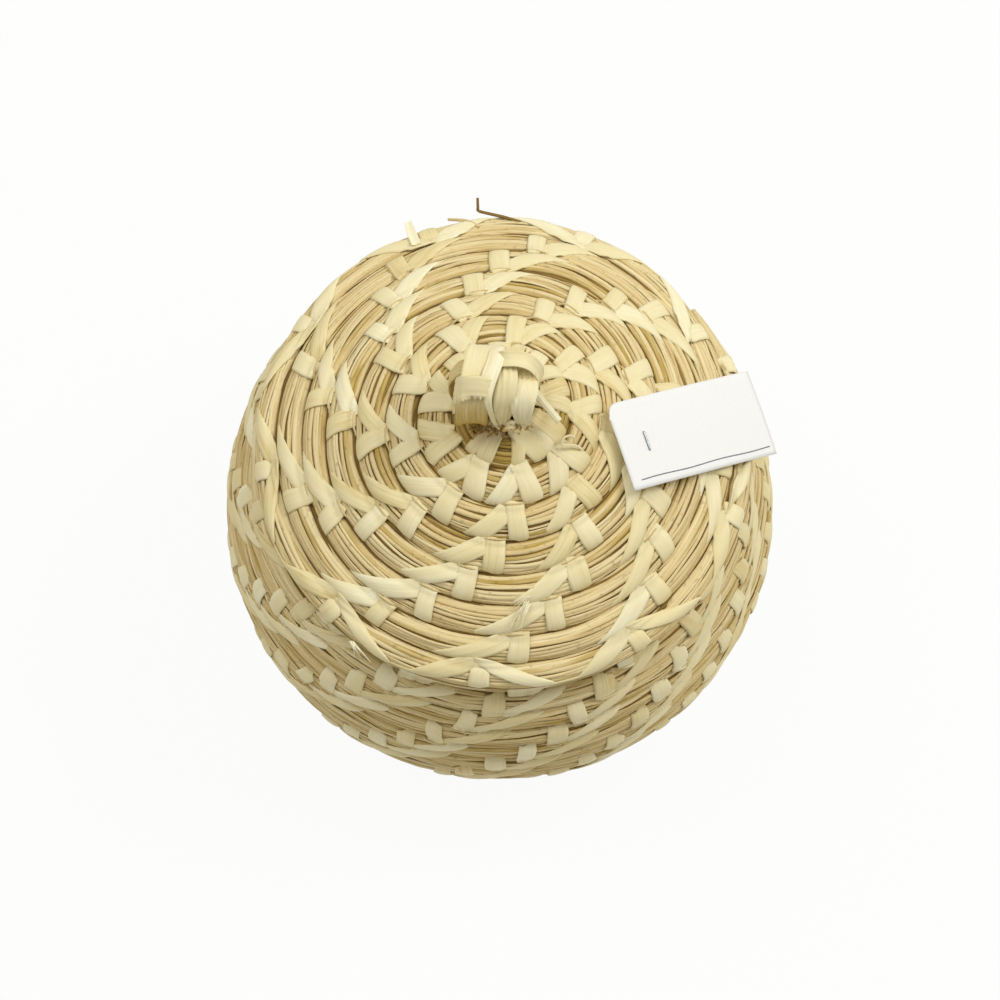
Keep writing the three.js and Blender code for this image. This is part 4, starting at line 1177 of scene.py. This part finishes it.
class BASKET_OT_add_loose_ends(bpy.types.Operator):
    """Add the loose grass and leaf ends that stand out of the coil"""
    bl_idname = "basket.add_loose_ends"
    bl_label = "Add Loose Ends"

    def execute(self, context):
        finish = context.scene.basket_finish
        rng = np.random.default_rng(53)
        ends, tail, scraps = Shape(), Shape(), Shape()

        def on_lid(radius, angle, out):
            """A point at a radius, at a bearing in degrees and out from the middle of the lid's bundle."""
            slope = lid_slope(radius)
            r = radius + out * math.sin(slope)
            height = lid_middle(radius) + out * math.cos(slope)
            turn = math.radians(angle)
            return np.array([r * math.cos(turn), r * math.sin(turn), height])

        # The tail of the lid's bundle: a weathered stem that bends up over the edge at the back
        lay_fibre(tail, [on_lid(53.4, 86, 2.6), on_lid(54.4, 89.7, 3.0), on_lid(55.6, 93.4, 3.2),
                         on_lid(56.2, 95.7, 3.7), on_lid(56.4, 95.8, 4.6), on_lid(57.0, 95.7, 6.6)],
                  0.4, 0.0, taper=0.85)
        tail.build("lid_bundle_tail", bundle_inside(finish), "lid", "grass_bundle")
        lay_fibre(ends, [on_lid(52, 96, 2.6), on_lid(54, 99, 3.1), on_lid(55.5, 103, 3.2)], 0.45, 0.6,
                  taper=0.8)
        ends.build("lid_loose_ends", dried_grass(finish), "lid", "grass_bundle")
        # A splint frayed into fine fibres at the front, and a torn stitch at its left: both ends and a count
        for radius, angle, far_radius, far_angle, count in (
                (38.6, -82.2, 42.7, -87.4, 9), (37.5, -82.5, 39.5, -86.0, 4),
                (55.0, -126.0, 56.2, -122.4, 8)):
            for _ in range(count):
                near = on_lid(radius + rng.normal(0, 0.25), angle + rng.normal(0, 0.5), 3.7)
                far = on_lid(far_radius + rng.normal(0, 0.7), far_angle + rng.normal(0, 1.1), 4.0)
                middle = (near + far) / 2 + (rng.normal(0, 0.25), rng.normal(0, 0.25), rng.uniform(0.3, 0.9))
                lay_fibre(scraps, [near, middle, far], rng.uniform(0.1, 0.17), 1.0, count=14)
        # A curled end of leaf beside the knob
        curl = [on_lid(*place) for place in (
            (17.6, -26.3, 3.4), (15.9, -27.5, 4.2), (14.4, -30.8, 4.4), (13.5, -33.7, 4.5),
            (12.9, -31.2, 4.8), (13.0, -27.5, 5.0), (13.7, -24.2, 5.0), (14.8, -23.0, 4.6),
            (15.2, -25.0, 4.0))]
        lay_fibre(scraps, curl, 0.3, 0.75, count=60, taper=0.8)
        # The pale end of a splint sticks out over the edge at the back left
        beside = (math.sin(math.radians(112)), -math.cos(math.radians(112)), 0)
        strip = [(on_lid(50.5, 112.6, 3.0), 2.2, beside), (on_lid(53.4, 112.4, 3.9), 2.2, beside),
                 (on_lid(56.6, 112.0, 5.0), 1.7, beside)]
        fold_leaf(scraps, strip, rng, 0.0, tone=0.95, crown=0.25, count=16, ragged=0.8)
        scraps.build("lid_frayed_leaf", split_leaf(finish), "lid", "split_leaf")
        return {"FINISHED"}


class BASKET_OT_set_stage(bpy.types.Operator):
    """Set the white floor, the soft lights and the camera of the photograph"""
    bl_idname = "basket.set_stage"
    bl_label = "Set Stage"

    def execute(self, context):
        sizes = context.scene.basket_sizes
        scene = context.scene

        def seen_directly(owner):
            """1 for rays from the camera and for reflections, which see plain white."""
            path = add_node(owner, "ShaderNodeLightPath").outputs
            either = add_node(owner, "ShaderNodeMath", {"operation": "MAXIMUM"},
                              i0=path["Is Camera Ray"], i1=path["Is Glossy Ray"])
            return either.outputs["Value"]

        # The floor shows nearly white by itself, and for the rest it is paper that takes a shadow
        material, _ = new_material("Paper backdrop, white")
        share = add_node(material, "ShaderNodeMath", {"operation": "MULTIPLY"}, i0=seen_directly(material),
                         i1=0.94)
        paper = add_node(material, "ShaderNodeBsdfDiffuse", Color=(0.8, 0.775, 0.7, 1))
        glow = add_node(material, "ShaderNodeEmission", Color=(1, 1, 1, 1), Strength=1.0)
        both = add_node(material, "ShaderNodeMixShader", i0=share.outputs["Value"], i1=paper.outputs["BSDF"],
                        i2=glow.outputs["Emission"])
        add_node(material, "ShaderNodeOutputMaterial", Surface=both.outputs["Shader"])
        mesh = bpy.data.meshes.new("floor")
        mesh.from_pydata([(-3, -3, 0), (3, -3, 0), (3, 3, 0), (-3, 3, 0)], [], [(0, 1, 2, 3)])
        mesh.materials.append(material)
        floor = bpy.data.objects.new("floor", mesh)
        scene.collection.objects.link(floor)

        world = bpy.data.worlds.new("Soft room")
        world.use_nodes = True
        world.node_tree.nodes.clear()
        strength = add_node(world, "ShaderNodeMapRange", Value=seen_directly(world), To_Min=0.44, To_Max=1.0)
        background = add_node(world, "ShaderNodeBackground", Color=(1, 1, 1, 1),
                              Strength=strength.outputs["Result"])
        add_node(world, "ShaderNodeOutputWorld", Surface=background.outputs["Background"])
        scene.world = world

        lit_place = Vector((0, 0, 0.06))
        for name, place, size, energy in (
                ("key light", (0.66, 0.24, 0.94), 0.5, 6.2),
                ("fill light", (-0.42, 0.3, 1.12), 0.8, 4.8)):
            lamp = bpy.data.lights.new(name, "AREA")
            lamp.shape, lamp.size, lamp.energy = "DISK", size, energy
            holder = bpy.data.objects.new(name, lamp)
            holder.location = place
            holder.rotation_euler = (lit_place - Vector(place)).to_track_quat("-Z", "Y").to_euler()
            scene.collection.objects.link(holder)

        # The photograph is 1000 pixels wide, and its focal length is 3203 of them
        camera = bpy.data.cameras.new("photo camera")
        camera.sensor_width = 36.0
        camera.lens = 36.0 * 3203 / 1000
        camera.clip_end = 10.0
        holder = bpy.data.objects.new("photo camera", camera)
        direction = Vector((0, -math.cos(sizes.camera_elevation), math.sin(sizes.camera_elevation)))
        aimed_at = Vector((-0.00085, 0, 0.04025))
        holder.location = aimed_at + sizes.camera_distance * direction
        holder.rotation_euler = (-direction).to_track_quat("-Z", "Y").to_euler()
        scene.collection.objects.link(holder)
        scene.camera = holder
        scene.view_settings.view_transform = "Standard"
        return {"FINISHED"}


class BASKET_PT_panel(bpy.types.Panel):
    """The basket's sizes, finishes and the steps that make it"""
    bl_idname = "BASKET_PT_panel"
    bl_label = "Coiled Basket"
    bl_space_type = "VIEW_3D"
    bl_region_type = "UI"
    bl_category = "Basket"

    def draw(self, context):
        layout = self.layout
        for group in (context.scene.basket_sizes, context.scene.basket_finish):
            box = layout.box()
            for name in group.__annotations__:
                box.prop(group, name)
        for step in STEPS:
            layout.operator(step.bl_idname)


STEPS = (BASKET_OT_set_stage, BASKET_OT_wind_bundles, BASKET_OT_sew_basket, BASKET_OT_sew_lid,
         BASKET_OT_lace_edge, BASKET_OT_fold_knob, BASKET_OT_cut_card, BASKET_OT_add_loose_ends)
CLASSES = (BasketSizes, BasketFinish, *STEPS, BASKET_PT_panel)


def register():
    for cls in CLASSES:
        bpy.utils.register_class(cls)
    bpy.types.Scene.basket_sizes = PointerProperty(type=BasketSizes)
    bpy.types.Scene.basket_finish = PointerProperty(type=BasketFinish)


def unregister():
    del bpy.types.Scene.basket_finish
    del bpy.types.Scene.basket_sizes
    for cls in reversed(CLASSES):
        bpy.utils.unregister_class(cls)


def main():
    register()
    bpy.ops.basket.set_stage()
    bpy.ops.basket.wind_bundles()
    bpy.ops.basket.sew_basket()
    bpy.ops.basket.sew_lid()
    bpy.ops.basket.lace_edge()
    bpy.ops.basket.fold_knob()
    bpy.ops.basket.cut_card()
    bpy.ops.basket.add_loose_ends()


if __name__ == "__main__":
    main()
